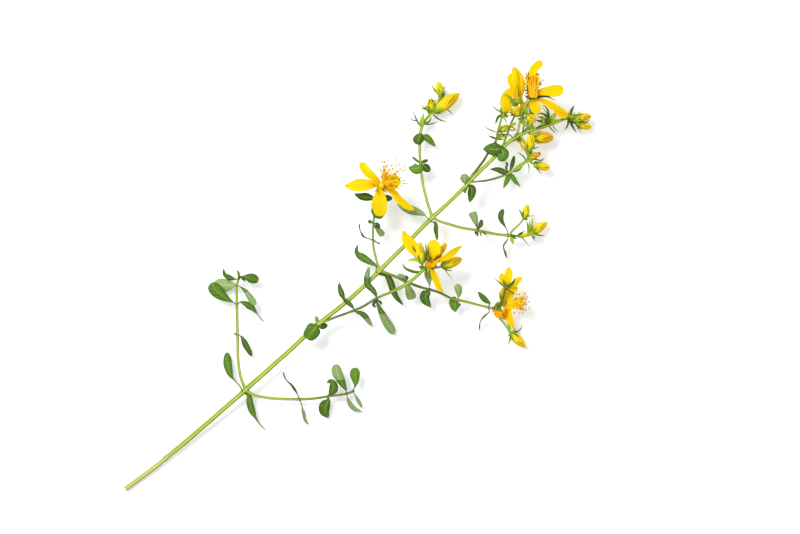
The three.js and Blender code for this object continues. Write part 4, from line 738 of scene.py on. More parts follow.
# The leaves of each node, with the stem that they clasp, where, and their spines beyond it
LEAF_PAIRS = [
    # on the main stem, from the cut end upwards
    ("leaves_main_1", "main_stem", (47.4, 38.9), [
        shape(3.5, (46.4, 41.0, 4.4), (44.9, 42.8, 4.4), (43.3, 44.6, 4.3), (42.2, 46.6, 4.0),
              (41.2, 50.0, 3.2), (40.9, 54.8, 2.0), belly=0.74, base=2.2, tip=0.45,
              roll=(78, 78, 60, 10, 0, 0, 0)),
        shape(2.9, (49.7, 37.6, 3.6), (50.0, 34.8, 3.3), (50.8, 31.6, 2.8), (52.1, 28.8, 2.3),
              (53.9, 25.9, 1.8), (56.4, 23.6, 1.2), belly=0.34, base=0.7, tip=1.0,
              roll=(0, 0, 0, 50, 72, 74)),
    ]),
    ("leaves_main_2", "main_stem", (77.2, 66.0), [
        shape(6.2, (76.7, 65.3, 8.3), (76.0, 64.4, 8.9), (74.9, 62.9, 9.1), (73.0, 60.3, 8.6), belly=0.42,
              base=0.5, tip=0.25, tone=0.5),
        shape(2.4, (78.6, 65.0, 5.8), (79.8, 65.4, 5.4), (81.2, 65.9, 5.0), tone=0.2),
        shape(1.8, (77.0, 67.2, 6.8), (76.9, 68.4, 7.2), (76.8, 69.6, 7.2), roll=UNDER, tip=1.0),
    ]),
    ("leaves_main_3", "main_stem", (101.4, 86.6), [
        shape(3.2, (100.6, 89.4, 8.0), (98.6, 90.8, 7.6), (96.2, 92.3, 6.8), (94.0, 93.8, 5.9),
              (93.0, 95.4, 5.2), (93.4, 97.9, 4.4), belly=0.62, base=1.3, tip=0.8,
              roll=(0, 0, 0, 10, 40, 60)),
        shape(2.8, (104.6, 86.0, 6.9), (105.6, 84.6, 6.6), (106.6, 82.4, 6.2), (107.4, 79.8, 5.6),
              (108.9, 76.6, 4.7), (111.5, 73.8, 3.3), belly=0.5, base=0.4, tip=0.8, roll=(0, 20), tone=0.25),
    ]),
    ("leaves_main_4", "main_stem", (122.1, 107.9), [
        shape(3.8, (120.2, 109.6, 8.6), (118.0, 110.7, 8.5), (115.1, 111.6, 8.3), (112.5, 112.7, 8.0),
              (110.3, 114.7, 7.4), (109.4, 116.5, 6.8), roll=(100, 170, 180, 180, 180, 180)),
        shape(1.9, (124.3, 106.6, 7.6), (124.6, 104.2, 7.2), (124.9, 101.8, 6.5), (125.0, 99.8, 5.9),
              belly=0.45, roll=(15, 25), curl=-0.5, tone=0.35),
    ]),
    ("leaves_main_5", "main_stem", (136.9, 122.1), [
        shape(3.8, (136.2, 122.6, 10.0), (136.0, 123.6, 10.6), (136.1, 124.9, 10.8), (136.4, 126.2, 10.5),
              belly=0.6, roll=UNDER),
        shape(4.0, (138.4, 120.9, 8.1), (138.9, 119.8, 7.8), (138.7, 117.8, 7.0), (138.0, 114.8, 5.8),
              belly=0.35, base=0.7, tip=0.95, curl=-0.9, tone=0.35),
        shape(1.7, (136.8, 121.0, 8.2), (136.2, 119.8, 7.6), (136.0, 118.4, 6.8), roll=UNDER, tone=0.8),
    ]),
    ("leaves_main_6", "main_stem", (149.6, 135.3), [
        shape(5.4, (150.2, 135.9, 10.4), (149.0, 135.9, 11.0), (146.6, 136.0, 11.1), (143.2, 136.1, 10.2),
              belly=0.42, base=0.6, tip=0.95, tone=0.4),
        shape(4.8, (150.8, 135.3, 10.3), (151.4, 134.4, 10.9), (150.8, 132.9, 11.0), (149.6, 131.4, 10.5),
              belly=0.5, base=0.8, tone=0.6),
    ]),
    # on the lower left branch
    ("leaves_lower_left_1", "branch_lower_left", (45.2, 61.8), [
        shape(3.4, (46.6, 61.2, 4.0), (47.6, 59.6, 3.6), (48.9, 57.0, 2.8), (50.8, 53.2, 1.8), belly=0.45,
              curl=-1.4, tone=0.4),
        shape(0.8, (44.3, 62.2, 4.2), (43.9, 62.6, 4.2), tone=0.3),
    ]),
    ("leaves_lower_left_2", "branch_lower_left", (44.9, 74.2), [
        shape(5.4, (43.6, 74.8, 4.4), (41.4, 76.0, 4.8), (38.6, 78.0, 5.1), (36.1, 80.2, 4.8),
              (35.0, 82.8, 4.2), belly=0.77, base=1.5, tip=0.42, tone=0.5),
        shape(2.9, (46.4, 74.9, 4.2), (48.4, 74.3, 4.2), (50.6, 72.8, 3.6), (52.8, 70.2, 2.6),
              (55.6, 67.2, 1.3), belly=0.42, tip=0.6, roll=(0, 0, 15, 55, 108, 116)),
    ]),
    ("leaves_lower_left_3", "branch_lower_left", (44.9, 81.6), [
        shape(5.2, (43.2, 81.6, 3.2), (40.8, 81.6, 2.4), (38.2, 82.0, 1.7), (35.8, 83.0, 1.0), belly=0.6,
              base=0.9, roll=UNDER, tone=0.8),
        shape(2.7, (46.2, 81.1, 4.2), (48.4, 79.4, 4.8), (50.2, 76.8, 5.2), (52.3, 73.7, 5.2), belly=0.8,
              base=1.2, tip=0.42, turned=0.4),
    ]),
    ("leaves_lower_left_4", "branch_lower_left", (45.4, 84.0), [
        shape(2.2, (44.2, 84.2, 4.2), (41.8, 84.8, 4.4), (40.2, 86.0, 4.2), (39.5, 88.4, 3.6), belly=0.45,
              tip=1.0, roll=(0, 10, 40), tone=0.25),
        shape(4.1, (46.6, 85.0, 4.2), (48.4, 84.9, 4.7), (50.9, 84.5, 4.8), (53.6, 83.5, 4.1), belly=0.7,
              base=2.2, tip=0.4, tone=0.4),
        shape(1.1, (45.7, 86.0, 5.0), (45.1, 88.0, 5.4), tip=1.0, tone=0.9),
        shape(1.0, (46.2, 85.2, 5.0), (47.4, 84.2, 5.3), (48.6, 83.0, 5.2), tip=1.0, tone=0.3),
    ]),
    # on the lower right branch
    ("leaves_lower_right_1", "branch_lower_right", (69.8, 36.1), [
        shape(2.0, (69.4, 37.6, 4.2), (68.4, 39.8, 4.8), (67.0, 41.6, 5.2), (65.3, 43.2, 5.3),
              (64.2, 45.0, 5.0), (63.4, 47.0, 4.4), belly=0.5, roll=(60, 50, 68, 72, 72), tone=0.2),
        shape(2.0, (70.4, 34.8, 3.0), (71.2, 32.2, 2.6), (71.8, 29.8, 2.2), (72.2, 28.0, 1.8),
              (73.4, 25.9, 1.4), roll=(80, 100, 130, 140, 120)),
    ]),
    ("leaves_lower_right_2", "branch_lower_right", (81.4, 37.2), [
        shape(4.6, (81.4, 35.6, 3.4), (80.6, 33.8, 3.3), (80.3, 31.2, 2.8), (81.5, 28.5, 1.8), belly=0.48,
              base=0.9, tip=0.8, skew=0.2, tone=0.35),
        shape(3.8, (82.4, 38.6, 4.2), (83.6, 40.2, 4.9), (83.4, 42.2, 5.0), (82.2, 43.2, 4.6),
              (80.8, 42.4, 4.2), belly=0.4, tip=1.0, tone=0.35),
    ]),
    ("leaves_lower_right_3", "branch_lower_right", (88.8, 38.3), [
        shape(4.3, (88.5, 39.9, 4.6), (87.5, 41.8, 5.4), (86.4, 44.0, 6.1), (85.1, 46.8, 6.3),
              (84.4, 50.1, 5.6), belly=0.74, base=1.1, tip=0.42, turned=0.48),
        shape(2.2, (89.2, 36.6, 2.8), (90.2, 34.2, 2.2), (92.0, 32.2, 1.6), (95.4, 31.0, 1.1), belly=0.45,
              tip=1.0, roll=(120, 150, 165, 150)),
    ]),
    ("leaves_lower_right_4", "branch_lower_right", (91.4, 39.2), [
        shape(4.1, (92.0, 40.8, 4.0), (92.4, 43.0, 4.7), (92.2, 46.0, 5.1), (92.3, 48.8, 4.8), belly=0.74,
              base=1.8, tip=0.42, tone=0.75),
        shape(1.6, (92.2, 37.8, 3.4), (93.4, 35.6, 3.0), (95.0, 32.6, 2.6), belly=0.6, roll=(150, 165, 165)),
    ]),
    # on the branch that ends in the middle cluster
    ("leaves_to_cluster_1", "branch_to_cluster", (92.0, 71.8), [
        shape(2.6, (91.4, 72.8, 9.6), (90.2, 74.2, 10.1), (88.6, 75.7, 10.2), (87.2, 78.0, 9.9),
              (86.2, 80.6, 9.1), (86.0, 82.8, 8.0), belly=0.5, base=0.8, tip=0.6,
              roll=(0, 0, 40, 62, 20, 0, 0), tone=0.3),
        shape(2.4, (92.8, 71.0, 8.6), (94.4, 70.6, 7.9), (96.0, 69.6, 6.9), (97.4, 67.6, 5.3),
              (99.3, 64.9, 3.6), belly=0.5, base=0.7, tip=0.9, roll=(0, 0, 20), turned=0.55),
    ]),
    ("leaves_to_cluster_2", "branch_to_cluster", (101.0, 76.6), [
        shape(2.6, (100.5, 78.0, 11.0), (99.3, 79.9, 11.2), (97.7, 81.5, 10.9), (97.0, 83.4, 10.5),
              (97.1, 85.6, 9.9), (97.8, 88.9, 9.2), belly=0.45, base=0.6, tip=0.45, turned=0.66, tone=0.3),
        shape(3.6, (101.0, 75.0, 9.5), (102.0, 72.6, 8.0), (104.3, 67.8, 5.0), (106.3, 64.6, 3.0),
              (107.9, 62.1, 1.6), belly=0.78, base=0.9, tip=0.38, turned=0.4, tone=0.55),
        shape(1.3, (100.3, 75.2, 9.8), (99.6, 74.0, 9.7), (100.6, 72.8, 9.2), tone=0.1),
        shape(1.1, (101.6, 75.6, 10.2), (102.6, 74.6, 9.6), (102.6, 73.8, 9.0), tone=0.1),
    ]),
    # on the branch that ends in the open flower
    ("leaves_to_flower_1", "branch_to_flower", (99.4, 99.8), [
        shape(1.8, (98.2, 100.2, 7.6), (95.8, 101.2, 6.8), (94.4, 103.4, 5.7), (93.9, 106.3, 4.2),
              roll=(60, 70, 72), tone=0.1),
        shape(1.3, (100.6, 99.0, 7.2), (102.4, 98.1, 6.4), roll=(60, 70), tone=0.1),
    ]),
    ("leaves_to_flower_2", "branch_to_flower", (99.6, 106.4), [
        shape(2.0, (98.6, 106.9, 7.8), (97.4, 107.4, 7.8), curl=-1.2, tone=0.4),
        shape(1.9, (100.7, 106.4, 7.6), (101.3, 105.6, 7.2), (102.0, 104.4, 6.6), tone=0.1),
        shape(2.6, (100.4, 105.2, 6.6), (101.8, 103.6, 5.6), (103.5, 101.5, 4.2), belly=0.85, base=1.0,
              tip=0.25, roll=UNDER),
    ]),
    ("leaves_to_flower_3", "branch_to_flower", (100.7, 114.6), [
        shape(3.3, (99.4, 116.2, 8.9), (97.4, 116.9, 8.9), (94.6, 117.2, 8.3), (91.8, 118.3, 7.4),
              belly=0.5, tip=1.0, tone=0.2),
        shape(2.8, (102.0, 115.4, 8.7), (104.2, 116.4, 8.6), (107.2, 116.4, 7.9), tone=0.2),
        shape(6.0, (101.4, 113.4, 9.4), (101.6, 111.8, 9.8), (101.9, 110.0, 9.8), (102.4, 108.2, 9.4),
              belly=0.5, base=0.7, tip=0.6, tone=0.5),
    ]),
    # on the far right branch
    ("leaves_far_right_1", "branch_far_right", (112.4, 83.2), [
        shape(2.0, (111.8, 84.8, 9.2), (110.4, 85.4, 9.4), (109.2, 85.8, 9.2), roll=UNDER),
        shape(4.0, (112.9, 82.0, 7.7), (113.6, 80.4, 6.9), (114.3, 78.4, 5.8), (115.0, 76.0, 4.8),
              belly=0.85, base=0.8, tip=0.2, roll=UNDER, tone=0.6),
        shape(1.5, (113.0, 84.4, 8.9), (112.5, 85.0, 9.1), (111.8, 85.2, 9.1), tone=0.1),
    ]),
    ("leaves_far_right_2", "branch_far_right", (122.0, 80.0), [
        shape(3.1, (122.0, 81.6, 8.2), (121.8, 83.6, 8.6), (121.4, 86.0, 8.8), (121.2, 87.9, 8.8),
              belly=0.84, tip=0.4, roll=UNDER, tone=0.8),
        shape(4.0, (121.2, 78.6, 7.0), (120.4, 77.6, 6.6), (120.8, 75.6, 5.6), (122.7, 72.7, 4.0),
              belly=0.35, base=0.6, tip=1.0, skew=0.2, tone=0.4),
    ]),
    ("leaves_far_right_3", "branch_far_right", (133.4, 75.8), [
        shape(3.2, (133.6, 77.4, 7.2), (133.7, 79.0, 7.8), (133.3, 80.6, 8.0), (131.9, 81.3, 7.4),
              belly=0.72, base=1.2, tip=0.5, roll=UNDER),
        shape(5.0, (132.4, 75.1, 5.4), (132.2, 74.3, 5.2), (132.1, 73.0, 4.6), (132.3, 70.9, 3.6),
              belly=0.3, base=0.5, tip=1.0, tone=1.0),
    ]),
    ("leaves_far_right_4", "branch_far_right", (145.6, 72.9), [
        shape(2.4, (145.9, 74.4, 6.4), (144.6, 75.6, 6.6), (143.0, 77.2, 6.5), (141.3, 79.2, 6.0),
              belly=0.5, tip=0.8, tone=0.3),
        shape(1.6, (145.8, 71.2, 5.2), (143.9, 69.3, 4.4), (142.3, 67.0, 3.2), (142.0, 65.2, 2.4),
              (142.3, 63.3, 1.6), roll=(55, 70, 72), tone=0.15),
    ]),
    # on the upper branches
    ("leaves_upper_left_1", "branch_upper_left", (118.4, 129.8), [
        shape(4.8, (118.0, 129.2, 6.7), (116.9, 128.3, 6.8), (115.2, 128.4, 6.2), (113.4, 128.9, 5.4),
              belly=0.25, base=0.6, tip=1.0, tone=0.95),
        shape(3.2, (118.9, 129.8, 6.2), (120.2, 129.0, 6.4), (122.2, 127.2, 5.8), tone=0.15),
        shape(1.5, (119.2, 130.8, 6.2), (121.4, 131.8, 6.2), tone=0.15),
        shape(1.0, (117.8, 130.8, 5.8), (116.6, 131.8, 5.8), (115.0, 133.2, 5.4), tone=0.3),
    ]),
    ("leaves_upper_left_2", "branch_upper_left", (118.4, 142.2), [
        shape(4.4, (118.2, 142.0, 4.9), (117.8, 140.8, 5.6), (117.4, 139.4, 5.8), (117.2, 137.9, 5.4),
              base=0.7, tip=0.45, tone=0.35),
        shape(2.9, (119.6, 141.6, 4.2), (121.4, 140.4, 4.1), (124.4, 137.2, 3.2), belly=0.35, tip=0.9,
              tone=0.6),
    ]),
    ("leaves_upper_right_1", "branch_upper_right", (141.2, 103.6), [
        shape(3.3, (140.9, 105.2, 6.8), (140.4, 107.2, 7.2), (139.6, 109.4, 7.2), (139.0, 111.0, 6.8),
              belly=0.9, base=1.1, tip=0.2, roll=UNDER, tone=0.4),
        shape(1.9, (142.0, 105.0, 6.6), (142.6, 106.6, 6.6), (142.8, 108.0, 6.2), tone=0.1),
        shape(1.0, (141.2, 102.4, 5.6), (141.1, 101.2, 5.2), tone=0.3),
    ]),
    ("leaves_upper_right_2", "branch_upper_right", (153.4, 101.7), [
        shape(2.4, (153.2, 103.2, 6.2), (152.2, 105.4, 6.8), (151.2, 107.4, 7.0), (150.8, 109.4, 6.8),
              (151.4, 112.2, 6.2), belly=0.78, base=2.8, skew=-0.4, tone=0.25),
        shape(1.7, (153.4, 100.6, 4.8), (151.7, 97.4, 3.6), (152.3, 94.4, 2.5), (153.3, 92.1, 1.6),
              roll=(60, 72, 60, 70), tone=0.1),
    ]),
    ("leaves_top_right", "branch_top_right", (153.8, 126.6), [
        shape(2.4, (152.6, 126.6, 6.8), (149.6, 127.8, 7.2), (146.0, 128.1, 6.8), belly=0.32, base=0.5,
              tip=0.9, tone=0.2),
        shape(1.7, (154.5, 128.2, 6.6), (155.2, 130.6, 7.0), (155.9, 133.5, 6.8), tone=0.15),
        shape(2.1, (153.8, 125.7, 5.8), (152.8, 123.2, 5.2), (151.5, 120.3, 4.0), belly=0.32, base=0.5,
              tip=1.0, tone=1.5),
        shape(2.0, (154.7, 125.7, 5.8), (156.4, 123.2, 5.2), (158.5, 121.1, 4.0), belly=0.32, base=0.5,
              tip=1.0, tone=1.4),
        shape(1.0, (153.2, 127.4, 7.2), (152.6, 128.6, 7.5), (153.0, 130.2, 7.5), (152.2, 131.0, 7.2),
              tone=0.3),
    ]),
]


CURVES = {name: Curve(points) for name, (points, _, _) in STEMS.items()}
NODES_ON = {name: [] for name in STEMS}
for _, stem, seat, _ in LEAF_PAIRS:
    NODES_ON[stem].append(CURVES[stem].nearest(*seat))
OLD_NODE_SHARE = CURVES["main_stem"].nearest(*OLD_NODE)
NODES_ON["main_stem"].append(OLD_NODE_SHARE)


def stem_radius(name, t):
    return spread_out(STEMS[name][1], t)


def grow_stem(name):
    """One stem with its two raised lines, its swollen nodes and its wider foot."""
    curve = CURVES[name]
    main = name == "main_stem"
    length = curve.length

    def radius(t, angle):
        size = stem_radius(name, t)
        swelling = sum(hill((t - node) * length, NODE_REACH) for node in NODES_ON[name])
        scar = sum(hill((t - node) * length, SCAR_REACH) for node in NODES_ON[name])
        foot = 0.0 if main else FOOT_WIDENING * hill(t * length, FOOT_REACH)
        ridges = 1 + RIDGE * (hill(np.sin(angle - 2 * math.pi * RIDGE_TURN), RIDGE_SPREAD) - 0.3)
        wobble = 1 + 0.03 * np.sin(t * length * 0.45 + angle) + 0.02 * np.sin(t * length * 1.3 + 2 * angle)
        return (size * (1 + NODE_SWELLING * swelling) + SCAR_HEIGHT * scar + foot) * ridges * wobble

    def tone(t):
        plain = spread_out(STEMS[name][2], t)
        if not main:
            return plain
        below_old_node = np.clip((OLD_NODE_SHARE * 1.35 - t) / (OLD_NODE_SHARE * 0.4), 0, 1)
        return plain + 0.42 * below_old_node

    piece = Piece(name)
    sides, rings_per_mm = (40, 2.4) if main else (24, 3.0)
    sweep(piece, curve, radius, sides, int(length * rings_per_mm), 0, 1 if main else 0, tone, length / 10)
    piece.build([STEM, PITH] if main else [STEM])


def grow_leaves(name, stem, seat, leaves, seed):
    """The leaves of one node, and the line across the stem that joins their feet."""
    pair = Piece(name)
    curve = CURVES[stem]
    t = curve.nearest(*seat)
    centre, along = curve.at(t), curve.along(t)
    radius = stem_radius(stem, t)
    for number, (width, spine, options) in enumerate(leaves):
        out = np.array(spine[0]) - centre
        out = unit(out - along * np.dot(out, along))
        settings = {"veins": LEAF_VEINS, "wave": LEAF_WAVE, "seed": seed + number, **options}
        blade(pair, [centre + out * radius * 0.7, *spine], width, **settings)
    ring(pair, curve, t, radius * (1 + NODE_SWELLING) + 0.05, NODE_RING, 0.6)
    pair.build([LEAF_UPPER, LEAF_UNDER])


for index, (name, stem, seat, leaves) in enumerate(LEAF_PAIRS):
    grow_leaves(name, stem, seat, leaves, index * 10)
for name in STEMS:
    grow_stem(name)


# Flowers and buds

GROWN = list(CURVES.values())


def foot_near(x, y):
    """The place nearest to x, y in plan on any stem, stalk or bud grown so far."""
    curve = min(GROWN, key=lambda grown: grown.gaps(x, y).min())
    return curve.at(curve.nearest(x, y))


def petals(piece, first_seed, *rows, finish=(0, 0)):
    """Petals, each given as its width, its spine and what differs from the settings here."""
    settings = dict(
        belly=0.6, base=0.8, tip=0.45, curl=-0.25, neck=0.8, thickness=PETAL_THICKNESS, wave=0.2,
        waves=1.6, nerves=7, skew=0.12, teeth=0.1, midrib=0.0, finish=finish, tone=0.1,
    )
    for seed, (width, spine, options) in enumerate(rows, first_seed):
        blade(piece, spine, width, **{**settings, "seed": seed, **options})


def sepal(piece, spine, width, finish, **options):
    blade(
        piece, spine, width, belly=0.35, base=0.8, tip=1.0, curl=-0.4, neck=0.16, midrib=0.6,
        thickness=SEPAL_THICKNESS, along=16, across=8, finish=(finish, finish), **options,
    )


def bracts(piece, finish, *plans, tone=0.5, arch=0.7):
    """Narrow pointed leaves: each its width, the height of its tip and its places in plan.

    Each starts on the stem, stalk or bud that is nearest to its first place, and rises by arch.
    """
    for number, (width, tip_height, *places) in enumerate(plans):
        foot = foot_near(*places[0])
        if math.dist(foot[:2], places[0]) < 0.6:
            places = places[1:]
        share = np.linspace(0, 1, len(places) + 1)[1:]
        heights = foot[2] + (tip_height - foot[2]) * share + arch * np.sin(math.pi * share)
        spine = [foot, *([x, y, height] for (x, y), height in zip(places, heights))]
        sepal(piece, spine, width, finish, tone=tone, seed=number, roll=(15 * number % 40,))


def knob(piece, start, end, radius, finish, tone):
    """A small egg, such as an ovary."""
    def size(t, angle):
        return radius * np.sin(math.pi * (0.04 + 0.94 * t ** 0.85)) ** 0.6 * (1 + 0.06 * np.cos(3 * angle))

    sweep(piece, Curve([start, (np.array(start) + end) / 2, end]), size, 18, 14, finish, None, tone)


def pedicel(piece, *points, radius=PEDICEL_RADIUS, finish=0, tone=0.4):
    curve = Curve(points)

    def size(t, angle):
        return radius * (1 + 0.25 * t ** 4) + 0 * angle

    sweep(piece, curve, size, 14, max(8, int(curve.length * 2.5)), finish, None, tone, curve.length / 10)
    GROWN.append(curve)


def bud(piece, base, tip, radius, tone, point):
    """A closed bud of five petals that overlap in a spiral. A high point makes its end sharper."""
    base, tip = np.array(base, float), np.array(tip, float)
    curve = Curve([base, (base + tip) / 2, tip])

    def size(t, angle):
        foot = 0.5 + 0.5 * np.sin(math.pi / 2 * np.clip(t / BUD_BELLY, 0, 1))
        end = np.clip(1 - np.clip((t - BUD_BELLY) / 0.553, 0, 1) ** 2.2, 0, 1) ** point
        fold = np.mod(angle / (2 * math.pi) * BUD_SEAMS - t * BUD_TWIST * BUD_SEAMS, 1.0)
        return radius * foot * end * (0.95 + 0.08 * fold ** 0.6 - 0.05 * hill(fold, 0.06))

    sweep(piece, curve, size, 60, 36, 0, None, tone, crowd=1.5)
    GROWN.append(curve)


def calyx(piece, base, tip, radius, length, flare, finish, seed, width=0.9, count=5):
    """Narrow pointed sepals round the base of a bud or flower."""
    dice = random.Random(seed)
    base, tip = np.array(base, float), np.array(tip, float)
    axis = unit(tip - base)
    side = unit(np.cross(axis, UP + 0.01))
    up = np.cross(side, axis)
    for n in range(count):
        angle = 2 * math.pi * (n + dice.uniform(-0.12, 0.12)) / count + seed
        out = side * math.cos(angle) + up * math.sin(angle)
        reach = length * dice.uniform(0.85, 1.12)
        opening = flare * dice.uniform(0.6, 1.5)
        spine = [
            base - axis * 0.3 + out * 0.25,
            base + axis * reach * 0.22 + out * radius * 0.9,
            base + axis * reach * 0.6 + out * (radius * 1.15 + opening * 0.6),
            base + axis * reach + out * (radius + opening * 1.8),
        ]
        lean = math.atan2(np.dot(np.cross(axis, UP), out), np.clip(np.dot(out, UP), -1, 1))
        roll = (180 - math.degrees(lean),)
        sepal(piece, spine, width, finish, roll=roll, seed=seed * 7 + n, tone=dice.uniform(0.2, 0.8))


def anther(piece, centre, way, dice, finish):
    """The two-lobed tip of a stamen."""
    across = unit(np.cross(way, (dice.uniform(-1, 1), dice.uniform(-1, 1), 0.8)))
    size = ANTHER_LENGTH * dice.uniform(0.8, 1.1)

    def lobe_size(t, angle):
        return size * 0.3 * np.sin(math.pi * (0.05 + 0.9 * t)) ** 0.5 + 0 * angle

    for lobe in (-1, 1):
        middle = centre + np.cross(across, way) * lobe * size * 0.2
        ends = Curve([middle - across * size / 2, middle + way * 0.04, middle + across * size / 2])
        sweep(piece, ends, lobe_size, 8, 6, finish, None, dice.random())


def stamen(piece, start, end, aim, dice, finish):
    """A stamen that leaves its base along aim and bends over to its end."""
    start, end = np.array(start, float), np.array(end, float)
    size = np.linalg.norm(end - start)
    sway = np.array([dice.uniform(-1, 1), dice.uniform(-1, 1), dice.uniform(-0.3, 1)]) * size * 0.05
    early = start + aim * size * 0.3 + sway * 0.4
    curve = Curve([start, early, (start + end) / 2 + aim * size * 0.1 + sway, end])

    def thread_size(t, angle):
        return FILAMENT_RADIUS * (1.2 - 0.45 * t) + 0 * angle

    sweep(piece, curve, thread_size, 7, 10, 0, None, dice.random())
    anther(piece, end, curve.along(1.0), dice, finish)


def tuft(piece, base, aim, count, length, spread, seed, foot_size, finish=3):
    """Long fine stamens that fan out of the base towards aim."""
    dice = random.Random(seed)
    base, aim = np.array(base, float), unit(aim)
    side = unit(np.cross(aim, UP))
    up = np.cross(side, aim)
    for _ in range(count):
        a = dice.uniform(0, 2 * math.pi)
        share = math.sqrt(dice.random())
        out = side * math.cos(a) + up * math.sin(a) * 0.6
        way = unit(aim * math.cos(spread * share) + out * math.sin(spread * share))
        start = base + out * foot_size * share
        end = start + way * length * dice.uniform(0.62, 1.0)
        end[2] = max(end[2], 1.0)
        stamen(piece, start, end, aim, dice, finish)


def reaching_stamens(piece, centre, aim, places, lift, top, foot_size, seed, scatter=0.0, finish=1):
    """Stamens whose tips stand over the given places in plan. The near ones stand higher."""
    dice = random.Random(seed)
    centre, aim = np.array(centre, float), unit(aim)

    def scattered():
        return dice.uniform(-scatter, scatter)

    ways = [np.array([x - centre[0] + scattered(), y - centre[1] + scattered(), 0]) for x, y in places]
    longest = max(np.linalg.norm(way) for way in ways) * 1.05
    for way in ways:
        reach = np.linalg.norm(way)
        height = lift * math.sqrt(1 - (reach / longest) ** 2) * dice.uniform(0.6, 1.0)
        end = centre + way + UP * height
        end[2] = min(end[2], top)
        start = centre + way / reach * foot_size * dice.uniform(0.3, 1.0)
        stamen(piece, start, end, aim, dice, finish)


def bud_cluster(node, stalks, buds, dark=(), green=(), brown=(), orange=()):
    """Buds with their sepals on short stalks, and the narrow leaves round them.

    Each bud has its base, tip, radius, tone and how sharp its end is. The narrow leaves come in
    four colours, each as bracts has them.
    """
    piece = Piece(node)
    for points in stalks:
        pedicel(piece, *points, finish=1)
    for seed, (base, tip, radius, tone, point) in enumerate(buds, 2):
        bud(piece, base, tip, radius, tone, point)
        calyx(piece, base, tip, radius * 0.75, 1.4 + radius, 0.6, 2, seed)
        way = np.subtract(tip, base)
        knob(piece, np.array(base) - unit(way) * 0.5, np.add(base, way * 0.25), radius * 0.72, 2, 0.5)
    bracts(piece, 3, *dark)
    bracts(piece, 2, *green, tone=0.8)
    bracts(piece, 4, *brown)
    bracts(piece, 5, *orange)
    piece.build([BUD, STEM, SEPAL, BRACT, WITHERED, PETAL_DRY])


# The open flower

OPEN_CENTRE = (102.6, 121.7, 12.9)
OPEN_ANTHERS = [
    (103.2, 130.8), (103.9, 130.4), (105.4, 131.2), (104.4, 129.0), (105.4, 129.2), (106.9, 129.2),
    (108.8, 131.6), (108.8, 129.3), (109.9, 129.8), (112.2, 129.2), (112.4, 127.6), (107.2, 128.0),
    (105.8, 127.4), (110.2, 128.0), (111.4, 127.3), (109.2, 127.0), (108.2, 125.6), (110.6, 124.5),
    (111.6, 123.3), (111.8, 122.0), (112.9, 122.1), (110.8, 121.2), (106.2, 121.5), (104.0, 127.4),
    (102.4, 127.4), (105.0, 126.2), (109.9, 123.6), (107.0, 121.2), (102.8, 124.6), (104.1, 130.9),
]

open_petals = Piece("open_flower_petals")
petals(
    open_petals, 1,
    shape(3.7, (102.2, 122.4, 12.3), (99.6, 124.6, 12.9), (97.2, 126.4, 13.1), (95.8, 128.4, 12.8),
          (95.3, 130.7, 11.8), tip=0.22, belly=0.8, base=0.35, roll=(0, 20)),
    shape(5.1, (101.7, 121.4, 12.3), (98.6, 121.6, 12.9), (95.0, 121.4, 13.0), (91.6, 121.1, 12.6),
          (88.1, 121.5, 11.6), belly=0.5, tip=0.8),
    shape(6.2, (102.2, 120.9, 12.3), (102.3, 117.8, 12.9), (102.4, 114.6, 13.0), (102.3, 111.8, 12.4),
          (102.2, 109.2, 11.6), tip=0.33),
    shape(3.1, (102.6, 121.1, 12.3), (104.8, 120.2, 12.7), (107.6, 118.8, 12.9), (109.8, 116.2, 12.7),
          (112.8, 113.5, 12.0), (115.7, 111.7, 11.4), belly=0.72, base=0.5, roll=(0, 20)),
    shape(6.2, (102.6, 121.5, 12.3), (104.8, 122.4, 12.6), (107.6, 123.0, 13.1), (110.5, 123.1, 13.6),
          tone=0.4, belly=0.55, base=0.6),
)
open_petals.build([PETAL])

open_stamens = Piece("open_flower_stamens")
reaching_stamens(open_stamens, OPEN_CENTRE, [0.4, 0.5, 0.9], OPEN_ANTHERS, 10.0, 20.9, 0.8, 11)
tuft(open_stamens, OPEN_CENTRE, [0.62, 0.4, 0.6], 32, 8.0, 0.75, 12, 0.8)
knob(open_stamens, [102.5, 121.2, 12.6], [103.4, 121.4, 15.4], 1.0, 2, 0.6)
for reach in ([106.0, 122.4, 19.6], [103.6, 126.0, 19.4], [101.6, 122.6, 20.0]):
    pedicel(open_stamens, [103.4, 121.4, 15.4], [103.8, 122.2, 17.4], reach, radius=STYLE_RADIUS)
open_stamens.build([FILAMENT, ANTHER, OVARY, POLLEN])

open_calyx = Piece("open_flower_calyx")
calyx(open_calyx, [101.9, 120.6, 10.4], [102.2, 121.4, 12.6], 1.1, 3.6, 1.6, 0, 3, width=1.2)
knob(open_calyx, [101.8, 120.0, 9.9], [102.2, 121.4, 12.4], 1.0, 0, 0.3)
bracts(open_calyx, 0, (0.9, 12.2, (101.8, 120.0), (100.9, 119.6), (100.7, 118.4)), tone=0.0)
open_calyx.build([SEPAL])

# The middle cluster

